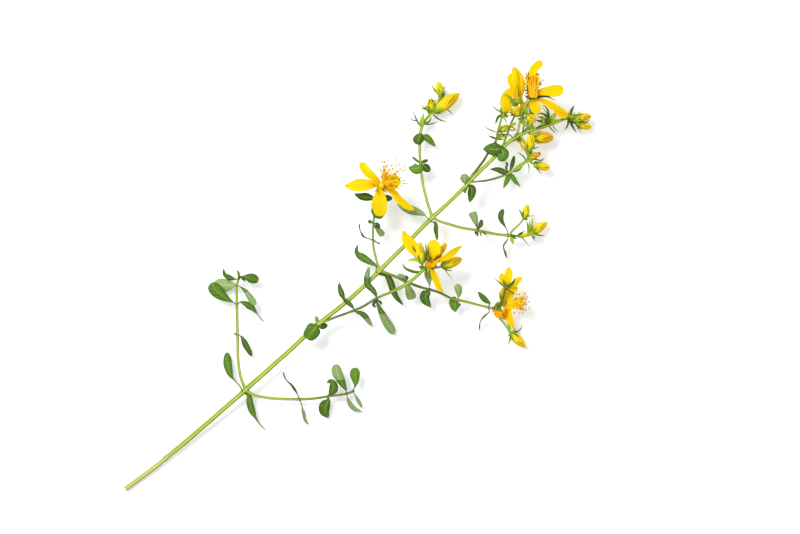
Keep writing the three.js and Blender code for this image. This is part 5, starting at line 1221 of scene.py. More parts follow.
cluster = Piece("cluster_petals")
petals(
    cluster, 6,
    shape(5.0, (120.6, 91.4, 13.2), (117.4, 94.2, 12.3), (114.6, 97.2, 12.1), (112.7, 100.2, 12.0),
          (111.7, 103.4, 11.6), belly=0.6, tip=0.85, base=0.8),
    shape(5.4, (122.8, 90.8, 13.8), (123.1, 93.4, 14.8), (123.5, 96.4, 15.3), (123.7, 99.7, 14.8),
          belly=0.62, base=0.7, tip=0.32),
    shape(2.9, (122.8, 90.6, 14.0), (126.4, 91.9, 14.6), (130.6, 94.6, 14.7), (135.2, 97.6, 13.6),
          roll=(0, 30), tip=0.95, belly=0.6, base=0.9),
    shape(2.9, (122.2, 90.4, 14.0), (123.2, 87.4, 13.6), (125.0, 83.4, 12.4), (125.7, 81.0, 11.6),
          (127.5, 79.0, 11.0), roll=(0, 30), tip=0.8),
    shape(1.6, (121.0, 88.6, 13.8), (123.2, 90.0, 14.8), (125.8, 91.6, 15.0), tone=0.9, neck=0.5),
    shape(1.6, (122.0, 88.4, 13.4), (123.0, 89.2, 14.2), (124.2, 90.4, 14.4), tone=0.9, neck=0.5),
)
knob(cluster, [120.8, 89.2, 12.4], [122.4, 91.0, 14.4], 1.3, 3, 0.6)
knob(cluster, [121.8, 91.4, 14.2], [121.2, 93.8, 16.0], 1.1, 2, 0.5)
bracts(
    cluster, 1, (0.7, 15.8, (124.4, 91.6), (125.2, 93.0), (126.8, 93.4)),
    (0.8, 16.0, (124.2, 92.2), (125.6, 94.4)), (0.6, 16.2, (122.4, 93.2), (121.0, 93.6), (119.9, 92.4)),
    (0.8, 15.0, (123.8, 88.4), (121.4, 88.6)),
)
cluster.build([PETAL, WITHERED, OVARY_OLD, PETAL_DRY])

bud_cluster(
    "cluster_buds",
    [
        [[120.6, 88.9, 12.2], [120.0, 88.9, 13.2], [119.2, 89.6, 14.2], [118.9, 91.0, 14.6]],
        [[120.6, 88.9, 12.2], [122.0, 89.0, 11.7], [124.2, 88.7, 11.3], [127.0, 89.2, 11.0]],
        [[120.6, 88.9, 12.2], [121.6, 90.0, 11.8], [123.4, 91.6, 11.9], [124.8, 93.0, 12.0]],
    ],
    [
        ([118.9, 90.6, 14.5], [117.7, 98.8, 15.0], 1.9, 0.3, 0.7),
        ([126.9, 89.4, 11.0], [134.9, 92.3, 10.2], 2.05, 0.4, 0.5),
        ([125.0, 92.8, 12.0], [128.5, 98.4, 12.0], 1.3, 0.6, 0.35),
    ],
    dark=(
        (1.2, 11.4, (119.0, 87.6), (117.0, 86.9), (114.4, 87.5), (112.1, 88.7), (111.0, 91.0)),
        (0.9, 13.9, (117.6, 94.4), (115.9, 95.8), (115.1, 97.8)),
        (0.9, 16.2, (120.2, 92.0), (120.6, 95.2), (120.3, 99.0)),
        (0.8, 16.0, (121.0, 93.0), (121.3, 95.4), (121.2, 98.2)),
        (0.7, 11.6, (127.4, 88.6), (129.4, 87.7), (131.5, 87.5)),
        (0.4, 10.8, (128.0, 88.0), (129.6, 86.0), (131.4, 84.0)),
        (0.9, 12.6, (120.6, 88.4), (120.9, 86.8), (120.4, 85.0)),
        (0.7, 12.4, (121.2, 88.4), (122.2, 87.0), (122.8, 85.0)),
        (1.0, 13.4, (119.4, 89.0), (118.4, 89.0), (117.6, 89.2)),
        (0.7, 12.0, (124.2, 88.8), (124.6, 89.4), (124.4, 90.2)),
    ),
    green=(
        (1.2, 15.4, (119.4, 92.4), (118.7, 96.0), (118.6, 99.8)),
        (1.4, 13.2, (119.0, 90.4), (117.0, 91.8), (113.0, 91.6)),
        (1.0, 13.6, (120.2, 89.2), (119.2, 87.8), (119.4, 86.6)),
        (1.0, 13.4, (120.6, 89.0), (121.4, 87.8), (121.4, 86.2)),
        (1.3, 13.4, (119.8, 88.4), (118.8, 88.4), (118.6, 87.2)),
        (1.0, 12.2, (126.4, 88.9), (128.0, 90.2), (128.8, 91.4)),
    ),
)

# The right cluster

upper_flower = Piece("right_upper_flower")
pedicel(
    upper_flower, [147.0, 72.6, 5.8], [148.8, 72.6, 6.3], [150.3, 73.8, 7.2], [151.1, 76.4, 8.2],
    [151.9, 78.8, 8.8], [152.6, 80.8, 9.2], radius=0.46, finish=1, tone=0.1,
)
petals(
    upper_flower, 10,
    shape(3.5, (152.7, 80.8, 9.2), (153.0, 83.4, 9.5), (153.4, 86.2, 9.2), (153.8, 89.0, 8.4), tip=0.75,
          base=0.6),
    shape(3.0, (152.2, 80.9, 9.0), (151.4, 82.4, 9.0), (151.0, 84.2, 8.6), (150.6, 86.4, 8.0), tip=0.4),
    shape(2.6, (152.8, 80.6, 8.8), (155.0, 81.8, 8.8), (156.8, 83.4, 8.4), (158.8, 84.8, 7.8), tip=0.5),
    shape(3.3, (152.8, 80.4, 8.6), (154.6, 80.6, 8.4), (156.0, 80.4, 7.9), (157.2, 80.6, 7.6), tip=0.4),
    shape(2.4, (152.2, 81.0, 8.6), (151.3, 79.0, 7.8), (151.2, 76.0, 7.0), (151.6, 73.0, 6.4), belly=0.4,
          base=0.5, tip=0.6),
)
knob(upper_flower, [152.4, 80.4, 9.0], [152.7, 82.0, 9.7], 0.9, 2, 0.2)
bracts(
    upper_flower, 3, (0.55, 9.8, (152.4, 81.0), (150.2, 82.4), (148.6, 83.9), (147.2, 84.7)),
    (0.7, 10.4, (152.6, 81.2), (151.6, 82.6), (151.1, 84.7)),
    (1.4, 10.2, (153.0, 81.0), (155.0, 82.6), (156.2, 84.9)),
    (0.6, 8.6, (153.0, 80.2), (154.8, 79.0), (156.6, 77.8)),
    (0.6, 8.4, (151.0, 75.6), (150.1, 77.6), (149.8, 79.4)),
)
bracts(
    upper_flower, 2, (1.5, 10.2, (152.6, 80.6), (152.0, 82.2), (151.8, 83.2)),
    (1.2, 10.2, (152.8, 81.2), (154.0, 82.0)), (0.8, 8.4, (148.0, 73.2), (149.2, 74.9), (150.4, 75.7)),
    tone=0.3,
)
upper_flower.build([PETAL, STEM, SEPAL, BRACT])

side_flower = Piece("right_flower_petals")
pedicel(
    side_flower, [147.0, 72.6, 5.8], [149.6, 72.8, 5.8], [151.6, 74.0, 6.0], [152.8, 74.6, 6.0], finish=1,
)
petals(
    side_flower, 33,
    shape(3.8, (152.8, 74.2, 6.0), (152.9, 76.0, 6.4), (153.8, 78.0, 6.4), (154.8, 80.2, 6.0), tone=0.2,
          base=0.4),
    shape(3.3, (152.8, 75.4, 6.2), (153.2, 71.8, 6.0), (154.0, 68.6, 5.6), (155.9, 64.2, 5.0), base=0.35,
          belly=0.4, tip=0.7, tone=0.1),
    shape(4.0, (152.8, 71.4, 6.4), (151.8, 70.0, 6.8), (150.0, 70.2, 6.8), (147.8, 71.6, 6.2),
          finish=(3, 3), tone=0.7, curl=0.7, tip=0.6),
    shape(2.6, (152.6, 72.0, 6.2), (152.0, 70.4, 6.2), (152.0, 67.8, 5.8), finish=(3, 3), tone=0.5),
    shape(3.4, (152.4, 73.2, 6.6), (154.4, 73.8, 7.0), (157.0, 74.4, 7.0), tone=0.3, base=0.4),
)
knob(side_flower, [151.4, 74.2, 6.0], [153.8, 74.6, 6.1], 1.0, 2, 0.5)
knob(side_flower, [151.2, 69.8, 7.2], [151.9, 70.1, 7.3], 0.45, 4, 0.6)
bracts(
    side_flower, 2, (1.3, 7.6, (148.8, 72.8), (149.8, 74.2), (150.9, 75.6)),
    (0.8, 7.0, (147.6, 72.6), (149.2, 72.2), (151.0, 72.4)),
    (1.1, 7.0, (149.4, 72.8), (150.2, 73.0), (150.6, 71.0)), tone=0.3,
)
side_flower.build([PETAL, STEM, SEPAL, PETAL_DRY, WITHERED])

SIDE_ANTHERS = [
    (157.8, 78.0), (160.0, 78.4), (158.6, 76.6), (160.6, 76.2), (161.8, 75.1), (159.4, 74.0), (159.4, 72.4),
    (161.8, 72.4), (159.2, 70.9), (155.7, 70.7), (158.2, 72.4), (156.2, 76.6), (160.8, 74.2), (158.0, 70.6),
    (161.2, 77.0), (160.4, 71.6), (156.8, 78.2),
]
side_stamens = Piece("right_flower_stamens")
reaching_stamens(side_stamens, (153.6, 74.6, 6.2), [1.0, 0.0, 0.3], SIDE_ANTHERS, 4.0, 10.0, 0.8, 21)
tuft(side_stamens, [153.2, 74.6, 6.1], [1.0, 0.02, 0.1], 60, 7.6, 0.3, 12, 1.4)
knob(side_stamens, [152.8, 74.6, 6.0], [154.6, 74.6, 6.0], 0.6, 2, 0.6)
side_stamens.build([FILAMENT, ANTHER, OVARY, POLLEN])

bud_cluster(
    "right_lower_bud",
    [[[147.0, 72.6, 5.8], [148.4, 70.6, 4.9], [150.2, 68.4, 4.2], [152.6, 65.4, 3.6], [154.4, 62.6, 3.0]]],
    [([154.6, 62.7, 3.0], [160.6, 56.6, 2.5], 1.85, 0.2, 1.0)],
    dark=(
        (0.6, 3.4, (156.0, 63.2), (157.2, 63.2), (158.6, 64.3), (159.0, 66.2)),
        (0.6, 2.0, (154.4, 61.2), (154.2, 59.6), (153.4, 57.5)), (0.5, 2.6, (154.4, 62.2), (153.2, 60.8)),
    ),
    green=(
        (1.3, 4.0, (154.2, 63.2), (153.9, 65.2), (153.3, 67.6)),
        (1.0, 4.0, (154.6, 62.8), (155.4, 63.2), (156.6, 64.6)),
    ),
)

# The bud clusters of the upper branches

bud_cluster(
    "upper_left_buds",
    [
        [[122.2, 150.0, 3.0], [122.9, 150.8, 3.0], [122.9, 151.8, 3.2]],
        [[122.6, 150.4, 3.0], [123.8, 151.6, 3.3], [125.2, 154.4, 3.2], [126.4, 157.8, 2.9]],
        [[122.2, 150.0, 3.0], [123.2, 150.6, 3.2], [124.2, 151.4, 3.4]],
    ],
    [
        ([122.8, 151.6, 3.3], [122.4, 156.4, 3.6], 1.6, 0.3, 0.4),
        ([126.5, 157.6, 2.9], [125.5, 163.2, 2.7], 1.6, 0.0, 0.5),
        ([123.9, 151.3, 3.4], [134.2, 158.6, 3.3], 2.6, 0.5, 0.85),
    ],
    dark=(
        (0.7, 4.4, (118.4, 145.4), (117.0, 147.6), (116.0, 149.8), (115.1, 151.6)),
        (0.6, 3.6, (118.2, 145.8), (116.9, 147.5), (115.2, 147.8), (113.6, 149.2)),
        (0.6, 3.8, (119.6, 145.8), (122.8, 146.3), (126.0, 147.5)),
        (0.9, 3.6, (120.4, 146.6), (121.6, 147.0), (123.0, 149.4)),
        (0.7, 3.4, (123.0, 150.4), (126.0, 148.0), (129.3, 147.1)),
        (0.6, 3.0, (128.6, 152.6), (130.2, 151.2), (131.8, 149.6)),
        (0.8, 4.2, (122.4, 150.6), (120.4, 152.2), (118.4, 152.4)),
        (0.7, 4.4, (121.6, 151.8), (119.6, 152.9), (118.2, 154.4)),
        (0.7, 4.8, (122.0, 153.4), (121.9, 155.2), (121.9, 156.4)),
        (0.7, 4.8, (122.8, 154.0), (123.2, 155.4), (122.7, 156.8)),
        (1.0, 4.2, (126.2, 157.0), (127.6, 157.8), (128.5, 159.6)),
        (1.0, 4.6, (124.2, 151.8), (126.2, 155.2), (128.2, 157.2)),
    ),
    green=(
        (1.8, 4.8, (118.6, 144.4), (118.9, 146.8), (119.8, 150.8)),
        (1.3, 4.6, (119.6, 146.0), (120.6, 148.2), (122.0, 150.0)),
        (1.2, 3.8, (126.2, 157.8), (124.0, 159.8), (122.8, 162.2)),
        (0.8, 3.6, (126.6, 157.8), (127.3, 159.8), (128.7, 161.9)),
        (1.3, 4.4, (122.4, 150.0), (121.2, 151.8), (121.4, 153.6)),
        (1.5, 4.8, (122.6, 150.4), (120.8, 152.8), (119.0, 152.9)),
        (1.1, 5.0, (123.2, 152.0), (124.0, 154.4), (124.2, 156.8)),
        (1.6, 4.6, (123.2, 150.6), (124.8, 151.4), (126.8, 152.2)),
        (1.4, 4.4, (126.0, 156.4), (126.2, 158.4), (126.3, 160.0)),
        (1.2, 4.4, (123.4, 150.2), (124.4, 152.6), (126.0, 153.6)),
        (1.5, 3.8, (125.2, 154.8), (126.6, 156.0), (127.8, 157.4)),
    ),
)

bud_cluster(
    "upper_right_buds",
    [
        [
            [154.2, 101.9, 5.4], [154.8, 103.1, 5.7], [157.0, 105.2, 5.9], [158.6, 106.9, 5.9],
            [159.8, 108.6, 5.6],
        ],
        [[154.2, 101.7, 5.4], [157.0, 101.3, 5.2], [159.4, 101.2, 4.6], [162.2, 102.3, 3.8]],
    ],
    [
        ([159.8, 108.4, 5.6], [161.3, 114.0, 4.9], 1.5, 0.1, 0.55),
        ([162.2, 102.3, 3.9], [169.4, 107.0, 2.6], 1.8, 0.1, 0.75),
        ([157.8, 101.2, 5.9], [163.4, 102.3, 5.4], 0.8, 1.0, 0.6),
    ],
    dark=(
        (1.0, 5.2, (141.2, 103.8), (140.5, 103.2), (140.4, 101.9)),
        (0.6, 6.0, (141.8, 103.8), (142.4, 102.4), (142.6, 100.7)),
        (0.8, 6.2, (142.4, 103.6), (143.8, 102.5), (145.2, 101.6)),
        (1.0, 7.0, (141.4, 104.2), (140.9, 105.4), (141.0, 106.8)),
        (1.0, 6.0, (155.0, 101.4), (156.0, 100.6), (156.9, 100.1)),
        (1.1, 6.8, (157.0, 101.6), (158.6, 102.6), (160.2, 103.3)),
        (0.8, 5.8, (161.2, 102.2), (161.4, 105.0), (160.6, 107.8)),
        (0.6, 4.0, (163.0, 102.0), (166.0, 101.7), (168.6, 101.5)),
        (0.5, 4.2, (162.6, 102.2), (163.4, 100.6), (164.6, 99.3)),
        (0.5, 4.2, (162.4, 102.2), (163.8, 100.9), (164.8, 100.9)),
        (1.4, 6.4, (154.0, 101.8), (155.6, 101.5), (157.4, 101.4)),
        (0.7, 7.2, (159.6, 108.2), (158.4, 110.9), (157.3, 112.6)),
        (0.7, 6.4, (159.8, 108.4), (160.6, 108.0), (161.6, 108.4)),
        (0.4, 4.6, (158.6, 101.0), (160.0, 99.6), (162.1, 97.1)),
    ),
    green=(
        (0.5, 6.2, (160.4, 108.8), (162.4, 109.4), (164.1, 109.7)),
        (1.0, 5.6, (162.2, 102.4), (162.9, 105.6), (163.3, 108.9)),
        (1.2, 5.4, (161.6, 102.0), (161.9, 104.4), (162.1, 107.6)),
        (1.5, 5.2, (154.4, 101.4), (155.0, 99.8), (155.6, 98.0)),
        (1.6, 5.6, (161.0, 101.8), (162.8, 102.8), (164.4, 103.2)),
        (1.2, 6.4, (160.0, 109.0), (159.4, 110.2), (159.4, 111.4)),
        (1.1, 5.4, (162.0, 101.8), (163.6, 101.8), (165.0, 102.0)),
    ),
)

bud_cluster(
    "top_right_buds",
    [
        [[160.4, 131.2, 6.8], [161.0, 132.2, 7.2], [161.3, 134.0, 8.2], [161.7, 136.0, 9.0]],
        [[160.4, 131.2, 6.8], [160.9, 131.8, 7.1], [161.6, 132.6, 7.3]],
        [[160.4, 131.2, 6.8], [161.8, 131.2, 7.0], [163.0, 130.4, 6.6], [164.4, 129.8, 6.2]],
    ],
    [
        ([161.7, 135.4, 9.0], [162.7, 141.9, 9.4], 1.8, 0.1, 0.4),
        ([161.4, 132.5, 7.3], [166.2, 134.3, 7.6], 1.35, 0.7, 0.4),
        ([164.0, 129.9, 6.3], [170.0, 128.5, 5.0], 1.6, 0.0, 0.35),
    ],
    dark=(
        (0.6, 8.2, (160.5, 131.4), (159.4, 133.2), (157.0, 135.0)),
        (0.7, 7.4, (162.6, 132.4), (166.4, 131.6), (168.3, 133.0)),
        (0.4, 6.4, (164.6, 128.8), (165.6, 127.4), (167.0, 125.7)),
        (0.6, 9.4, (162.2, 136.0), (164.0, 136.4), (165.8, 137.0)),
        (0.5, 6.0, (161.0, 130.8), (161.8, 128.8), (161.5, 126.4)),
        (0.9, 7.6, (163.4, 130.4), (164.4, 131.0), (165.8, 130.8)),
        (0.7, 8.2, (154.6, 127.0), (157.6, 127.7), (159.4, 129.8)),
        (0.8, 8.8, (161.8, 134.2), (162.6, 134.8), (162.7, 136.0)),
        (0.9, 8.4, (165.2, 134.0), (165.9, 134.5), (166.3, 133.8)),
    ),
    green=(
        (1.6, 8.4, (155.6, 127.4), (157.8, 129.2), (160.2, 131.8)),
        (1.0, 9.8, (160.8, 133.0), (160.4, 136.0), (159.6, 139.8)),
        (1.6, 8.0, (161.0, 131.4), (162.6, 131.6), (164.0, 132.4)),
        (1.2, 9.4, (161.4, 134.4), (161.0, 136.2), (161.6, 138.0)),
        (1.3, 7.8, (163.2, 130.6), (164.4, 129.4), (165.6, 129.0)),
        (1.0, 10.0, (161.8, 135.2), (162.9, 136.4), (163.2, 138.2)),
    ),
)

bud_cluster(
    "top_left_bud", [[[150.0, 145.4, 7.3], [150.6, 144.6, 7.2], [150.6, 143.8, 7.2], [151.0, 143.6, 7.2]]],
    [([150.4, 143.3, 7.2], [153.8, 145.5, 7.6], 1.25, 1.0, 0.5)],
    dark=(
        (0.5, 8.0, (149.3, 142.6), (147.0, 143.4), (145.0, 144.4), (143.3, 145.9)),
        (0.9, 7.6, (149.0, 140.2), (147.0, 140.8), (145.2, 141.6)),
        (0.6, 8.6, (151.2, 150.2), (149.4, 151.4), (148.0, 152.4), (146.9, 154.3)),
        (1.0, 9.2, (151.6, 150.8), (151.6, 152.4), (150.8, 153.8), (149.3, 154.2)),
        (1.3, 8.0, (151.0, 149.8), (149.6, 149.0), (148.9, 147.8), (148.3, 145.9)),
        (0.6, 8.6, (151.4, 149.0), (152.2, 147.8), (153.1, 146.1)),
        (1.4, 8.6, (149.1, 141.6), (151.2, 141.8), (153.0, 142.0)),
        (0.9, 8.0, (149.6, 143.0), (150.2, 143.1), (151.0, 142.9)),
        (1.1, 9.4, (151.4, 150.0), (152.4, 149.4), (153.2, 148.2)),
    ),
    green=(
        (1.8, 8.2, (148.8, 140.6), (150.8, 141.0), (153.0, 141.0)),
        (1.4, 9.6, (151.4, 150.2), (152.6, 150.8), (154.6, 150.6)),
        (1.6, 9.6, (151.2, 149.6), (150.4, 151.6), (150.6, 153.2)),
        (1.2, 9.4, (151.0, 149.2), (152.6, 149.2), (154.2, 149.6)),
        (1.0, 9.4, (151.6, 150.6), (152.8, 152.0), (153.4, 153.6)),
        (1.1, 8.4, (148.2, 139.0), (149.2, 140.6), (150.6, 141.8)),
    ),
    brown=(
        (0.6, 7.8, (149.6, 140.0), (151.0, 139.8), (152.2, 140.0)),
        (0.6, 9.4, (151.6, 150.0), (152.6, 150.0), (153.4, 149.2)),
    ),
)

bud_cluster(
    "top_small_buds",
    [
        [[155.9, 149.4, 11.1], [156.3, 149.6, 11.9], [156.6, 149.9, 12.6]],
        [[158.9, 148.6, 10.4], [160.2, 148.6, 10.2], [161.6, 148.4, 10.4]],
    ],
    [
        ([157.0, 149.2, 13.0], [156.2, 152.9, 14.8], 1.65, 0.4, 0.5),
        ([161.0, 149.0, 10.4], [164.2, 147.2, 12.4], 1.9, 0.3, 0.5),
    ],
    dark=(
        (0.9, 11.6, (169.8, 146.4), (169.6, 149.0), (169.2, 151.4), (168.0, 152.9), (166.3, 153.6)),
        (0.6, 10.8, (169.0, 147.6), (168.9, 150.0), (168.2, 151.2), (166.6, 152.8)),
        (1.3, 11.4, (169.0, 146.0), (168.6, 149.0), (166.6, 150.2), (164.4, 149.6)),
        (1.3, 10.6, (168.6, 145.6), (167.2, 146.9), (165.2, 147.3), (164.0, 148.0)),
        (1.8, 11.0, (169.0, 145.8), (169.2, 147.4), (168.2, 149.6)),
        (0.7, 7.2, (169.6, 145.4), (171.0, 143.8), (172.6, 142.3)),
        (0.4, 7.0, (171.2, 145.6), (172.4, 143.8), (173.9, 143.0)),
        (0.7, 8.2, (171.4, 147.2), (173.8, 147.8), (176.2, 147.9)),
        (0.7, 9.2, (164.0, 144.2), (165.6, 144.8), (168.4, 145.5)),
        (0.7, 9.6, (159.2, 143.0), (159.5, 144.8), (160.1, 146.6)),
        (0.7, 9.6, (159.8, 143.2), (160.6, 144.4), (161.6, 144.3)),
        (0.9, 13.4, (156.2, 149.6), (157.6, 149.2), (159.6, 149.4)),
        (0.9, 13.2, (156.2, 149.4), (155.0, 149.4), (153.8, 149.0)),
        (0.9, 12.8, (161.4, 148.8), (161.8, 150.6), (161.4, 152.6)),
        (0.8, 12.8, (161.8, 148.8), (163.2, 150.4), (164.8, 151.0)),
        (2.0, 8.6, (157.2, 141.2), (157.4, 140.0), (157.9, 138.4)),
        (1.2, 8.4, (157.0, 141.0), (156.0, 139.9), (155.2, 139.0)),
        (0.9, 10.8, (158.9, 149.0), (159.4, 151.4), (160.6, 152.6), (160.9, 155.2)),
    ),
    green=(
        (2.6, 9.6, (170.0, 146.4), (171.2, 148.6), (172.8, 150.9)),
        (2.0, 10.6, (168.8, 145.6), (166.8, 148.4), (164.8, 148.9)),
        (1.8, 8.0, (169.2, 145.9), (172.6, 147.2), (176.6, 148.2)),
        (1.8, 10.6, (162.2, 143.6), (161.2, 145.4), (161.2, 147.6)),
        (1.7, 10.4, (163.6, 144.0), (162.6, 145.6), (162.8, 147.0)),
        (1.5, 12.6, (161.6, 148.6), (162.2, 150.8), (163.6, 152.6)),
        (1.4, 12.6, (161.2, 148.6), (160.6, 150.8), (161.0, 153.4)),
        (1.7, 11.0, (159.0, 148.8), (158.2, 147.8), (157.0, 148.2)),
        (1.5, 13.2, (156.2, 149.6), (155.0, 150.8), (154.6, 152.6)),
        (1.4, 13.0, (156.6, 149.8), (158.2, 150.4), (159.2, 151.8)),
        (1.5, 8.8, (158.0, 141.6), (159.2, 139.8), (160.6, 137.2)),
        (1.3, 11.2, (158.8, 148.4), (159.8, 147.0), (161.0, 146.2)),
        (1.3, 13.6, (155.8, 149.4), (154.6, 150.0), (153.4, 151.0)),
        (1.4, 9.4, (165.2, 144.4), (166.4, 145.6), (168.4, 146.6)),
        (1.5, 11.8, (156.2, 150.6), (157.8, 151.6), (159.0, 153.6)),
        (1.4, 11.4, (156.8, 152.4), (155.4, 151.8), (153.8, 152.2)),
        (1.6, 11.2, (160.6, 151.8), (159.4, 151.2), (158.0, 152.0)),
        (1.4, 11.6, (161.4, 153.8), (162.6, 151.8), (164.4, 151.4)),
        (1.3, 11.8, (161.8, 155.0), (160.4, 154.4), (159.6, 152.8)),
        (1.3, 9.8, (154.0, 144.6), (155.2, 145.8), (156.6, 146.4)),
        (1.2, 9.6, (153.4, 143.2), (152.4, 144.6), (152.2, 146.4)),
        (1.5, 9.8, (158.2, 147.0), (159.6, 146.2), (160.4, 144.8)),
        (1.3, 9.6, (166.4, 144.8), (167.4, 147.0), (167.2, 149.4)),
        (1.2, 9.2, (170.6, 146.0), (171.0, 148.0), (170.2, 150.4)),
    ),
    orange=((1.3, 8.0, (157.8, 139.8), (159.0, 137.0), (160.6, 134.6)),),
    brown=(
        (0.5, 10.4, (154.2, 145.2), (155.6, 144.2), (156.6, 143.6)),
        (0.5, 10.4, (153.8, 143.8), (155.2, 143.5), (157.0, 143.7)),
        (0.6, 10.0, (152.8, 142.2), (154.2, 141.4), (155.2, 140.6)),
        (0.5, 10.0, (157.4, 142.4), (156.4, 142.0), (155.6, 140.9)),
    ),
)

bud_cluster(
    "top_orange_bud",
    [[[161.6, 143.2, 7.9], [161.8, 142.4, 7.0], [162.4, 141.6, 5.9], [163.4, 141.0, 5.3]]],
    [([163.0, 140.9, 5.2], [171.5, 140.6, 4.6], 2.4, 0.85, 0.45)],
    green=(
        (1.4, 7.4, (162.6, 142.8), (164.0, 142.0), (166.0, 141.9)),
        (1.2, 7.0, (163.0, 141.4), (164.4, 141.4), (165.6, 140.8)),
    ),
)

bud_cluster(
    "terminal_buds",
    [
        [[177.4, 148.6, 5.6], [178.4, 148.7, 5.3], [179.4, 148.9, 5.0], [180.4, 149.0, 4.8]],
        [[177.4, 148.6, 5.6], [178.6, 148.3, 5.1], [179.8, 147.4, 4.2], [181.2, 146.6, 3.4]],
    ],
    [
        ([180.2, 148.9, 4.9], [186.8, 149.2, 4.4], 1.65, 0.6, 0.6),
        ([180.9, 146.6, 3.7], [186.8, 144.8, 2.8], 1.6, 0.1, 0.45),
    ],
    dark=(
        (1.4, 6.6, (177.8, 148.6), (178.4, 150.6), (178.9, 152.0), (179.9, 153.7)),
        (0.9, 5.6, (177.4, 148.4), (177.3, 145.8), (175.9, 143.5)),
        (1.2, 5.2, (177.8, 148.4), (179.0, 145.6), (180.9, 142.6)),
        (0.4, 4.4, (180.2, 147.0), (181.6, 144.2), (183.2, 142.2)),
        (0.8, 4.2, (181.4, 146.8), (184.0, 146.8), (186.4, 147.9)),
        (1.4, 6.8, (176.8, 148.4), (177.6, 148.0), (178.4, 146.8)),
        (0.9, 5.4, (178.8, 148.2), (179.4, 146.8), (180.6, 146.2)),
        (0.8, 6.4, (179.2, 148.9), (179.9, 150.0), (179.8, 151.0)),
    ),
    green=(
        (1.6, 6.4, (179.0, 148.8), (180.8, 148.4), (182.6, 149.4)),
        (1.6, 6.2, (179.2, 148.6), (181.0, 147.6), (182.8, 147.6)),
        (1.5, 5.4, (179.8, 147.6), (181.2, 146.4), (182.6, 145.6)),
        (1.6, 6.8, (176.6, 148.4), (178.2, 149.0), (180.2, 148.9)),
        (1.3, 6.6, (178.2, 148.6), (179.0, 149.4), (180.4, 150.5)),
        (1.3, 6.2, (178.4, 148.4), (179.8, 147.6), (181.2, 147.2)),
        (1.2, 6.6, (177.4, 148.6), (177.6, 150.0), (178.4, 151.6)),
    ),
)

# The flowers at the top of the main stem

top_bud = Piece("top_bud")
petals(
    top_bud, 41,
    shape(5.0, (157.0, 155.2, 12.2), (157.5, 158.4, 13.2), (157.5, 163.0, 13.6), (155.6, 168.9, 12.2),
          belly=0.6, base=0.6, tip=0.75, curl=1.0),
    shape(2.8, (156.4, 155.6, 12.8), (156.1, 159.4, 14.2), (156.0, 164.0, 14.4), (155.0, 168.3, 12.6),
          base=0.6, curl=0.8, tip=0.7),
    shape(2.5, (158.0, 155.8, 12.6), (158.9, 159.4, 13.6), (158.8, 162.6, 13.6), (156.7, 167.7, 12.6),
          base=0.6, curl=1.0, tip=0.8),
    shape(4.7, (156.4, 157.4, 12.4), (155.4, 160.6, 12.8), (155.0, 163.1, 12.8), (154.8, 166.1, 12.2),
          belly=0.7, base=1.6, tip=0.4),
    shape(4.0, (157.0, 156.6, 12.2), (154.8, 158.6, 12.4), (152.6, 156.2, 11.8), (151.8, 153.2, 11.2),
          (152.4, 150.8, 10.8), belly=0.45, base=0.4, tip=0.6),
    shape(2.6, (156.8, 156.2, 12.2), (154.4, 155.0, 12.0), (153.6, 152.6, 11.6), (153.4, 150.6, 11.0),
          tone=0.5, base=0.7),
    shape(2.6, (158.6, 155.4, 11.9), (159.2, 153.2, 11.6), (159.2, 150.2, 10.9), tone=0.9, base=0.6),
    finish=(2, 2),
)
bud(top_bud, [157.2, 155.0, 12.2], [156.2, 168.4, 12.4], 1.9, 0.4, 0.8)
knob(top_bud, [157.2, 153.9, 11.8], [157.0, 156.4, 12.9], 1.35, 1, 0.6)
bracts(
    top_bud, 1, (1.0, 13.6, (156.6, 153.6), (155.4, 154.4), (154.4, 156.0), (153.2, 157.1), (150.6, 157.7)),
    (1.1, 13.4, (156.8, 153.4), (155.2, 153.8), (153.9, 155.4)),
    (1.1, 13.8, (157.4, 153.6), (156.0, 155.2), (154.5, 155.9)),
    (1.0, 13.8, (157.4, 154.0), (158.6, 155.4), (158.9, 156.8)),
    (0.9, 13.2, (157.0, 153.0), (155.4, 153.0), (154.6, 153.6)),
)
bracts(top_bud, 3, (0.5, 14.8, (157.4, 155.4), (157.4, 158.2), (157.0, 162.0)), arch=0.9, tone=1.0)
top_bud.build([BUD, SEPAL, PETAL, WITHERED])

top_petals = Piece("top_flower_petals")
petals(
    top_petals, 23,
    shape(3.5, (162.6, 157.6, 13.4), (162.4, 160.8, 14.2), (162.2, 164.6, 14.6), (163.4, 167.8, 14.2),
          (166.8, 170.6, 12.8), tip=0.34, belly=0.8, base=0.9),
    shape(4.7, (163.2, 158.2, 13.4), (166.2, 158.7, 13.9), (169.9, 159.1, 13.9), (175.2, 159.6, 12.8),
          tip=0.34, belly=0.78, base=0.7),
    shape(2.9, (163.4, 156.2, 13.4), (168.0, 154.8, 13.6), (172.4, 152.4, 12.9), (177.2, 149.6, 11.6),
          roll=(0, 30), base=0.6, tip=0.6),
    shape(4.2, (162.8, 156.2, 13.4), (163.4, 154.2, 13.6), (164.3, 152.4, 13.5), (165.4, 150.0, 12.8),
          base=0.6, tip=0.6),
    shape(2.6, (171.6, 151.9, 12.4), (174.4, 149.9, 12.2), (177.0, 149.0, 11.6), tone=1.0, base=0.5),
)
calyx(top_petals, [162.3, 156.0, 12.2], [162.7, 157.4, 14.0], 1.1, 3.4, 1.2, 1, 6)
knob(top_petals, [162.2, 155.8, 12.1], [162.7, 157.3, 13.8], 1.0, 1, 0.3)
bracts(
    top_petals, 2, (0.9, 14.9, (163.6, 156.4), (166.4, 156.9), (169.8, 157.0)),
    (0.9, 14.7, (163.6, 156.2), (168.6, 156.8), (172.2, 155.0)),
    (1.0, 14.2, (162.4, 156.2), (160.9, 156.2), (159.6, 157.6)), tone=0.1,
)
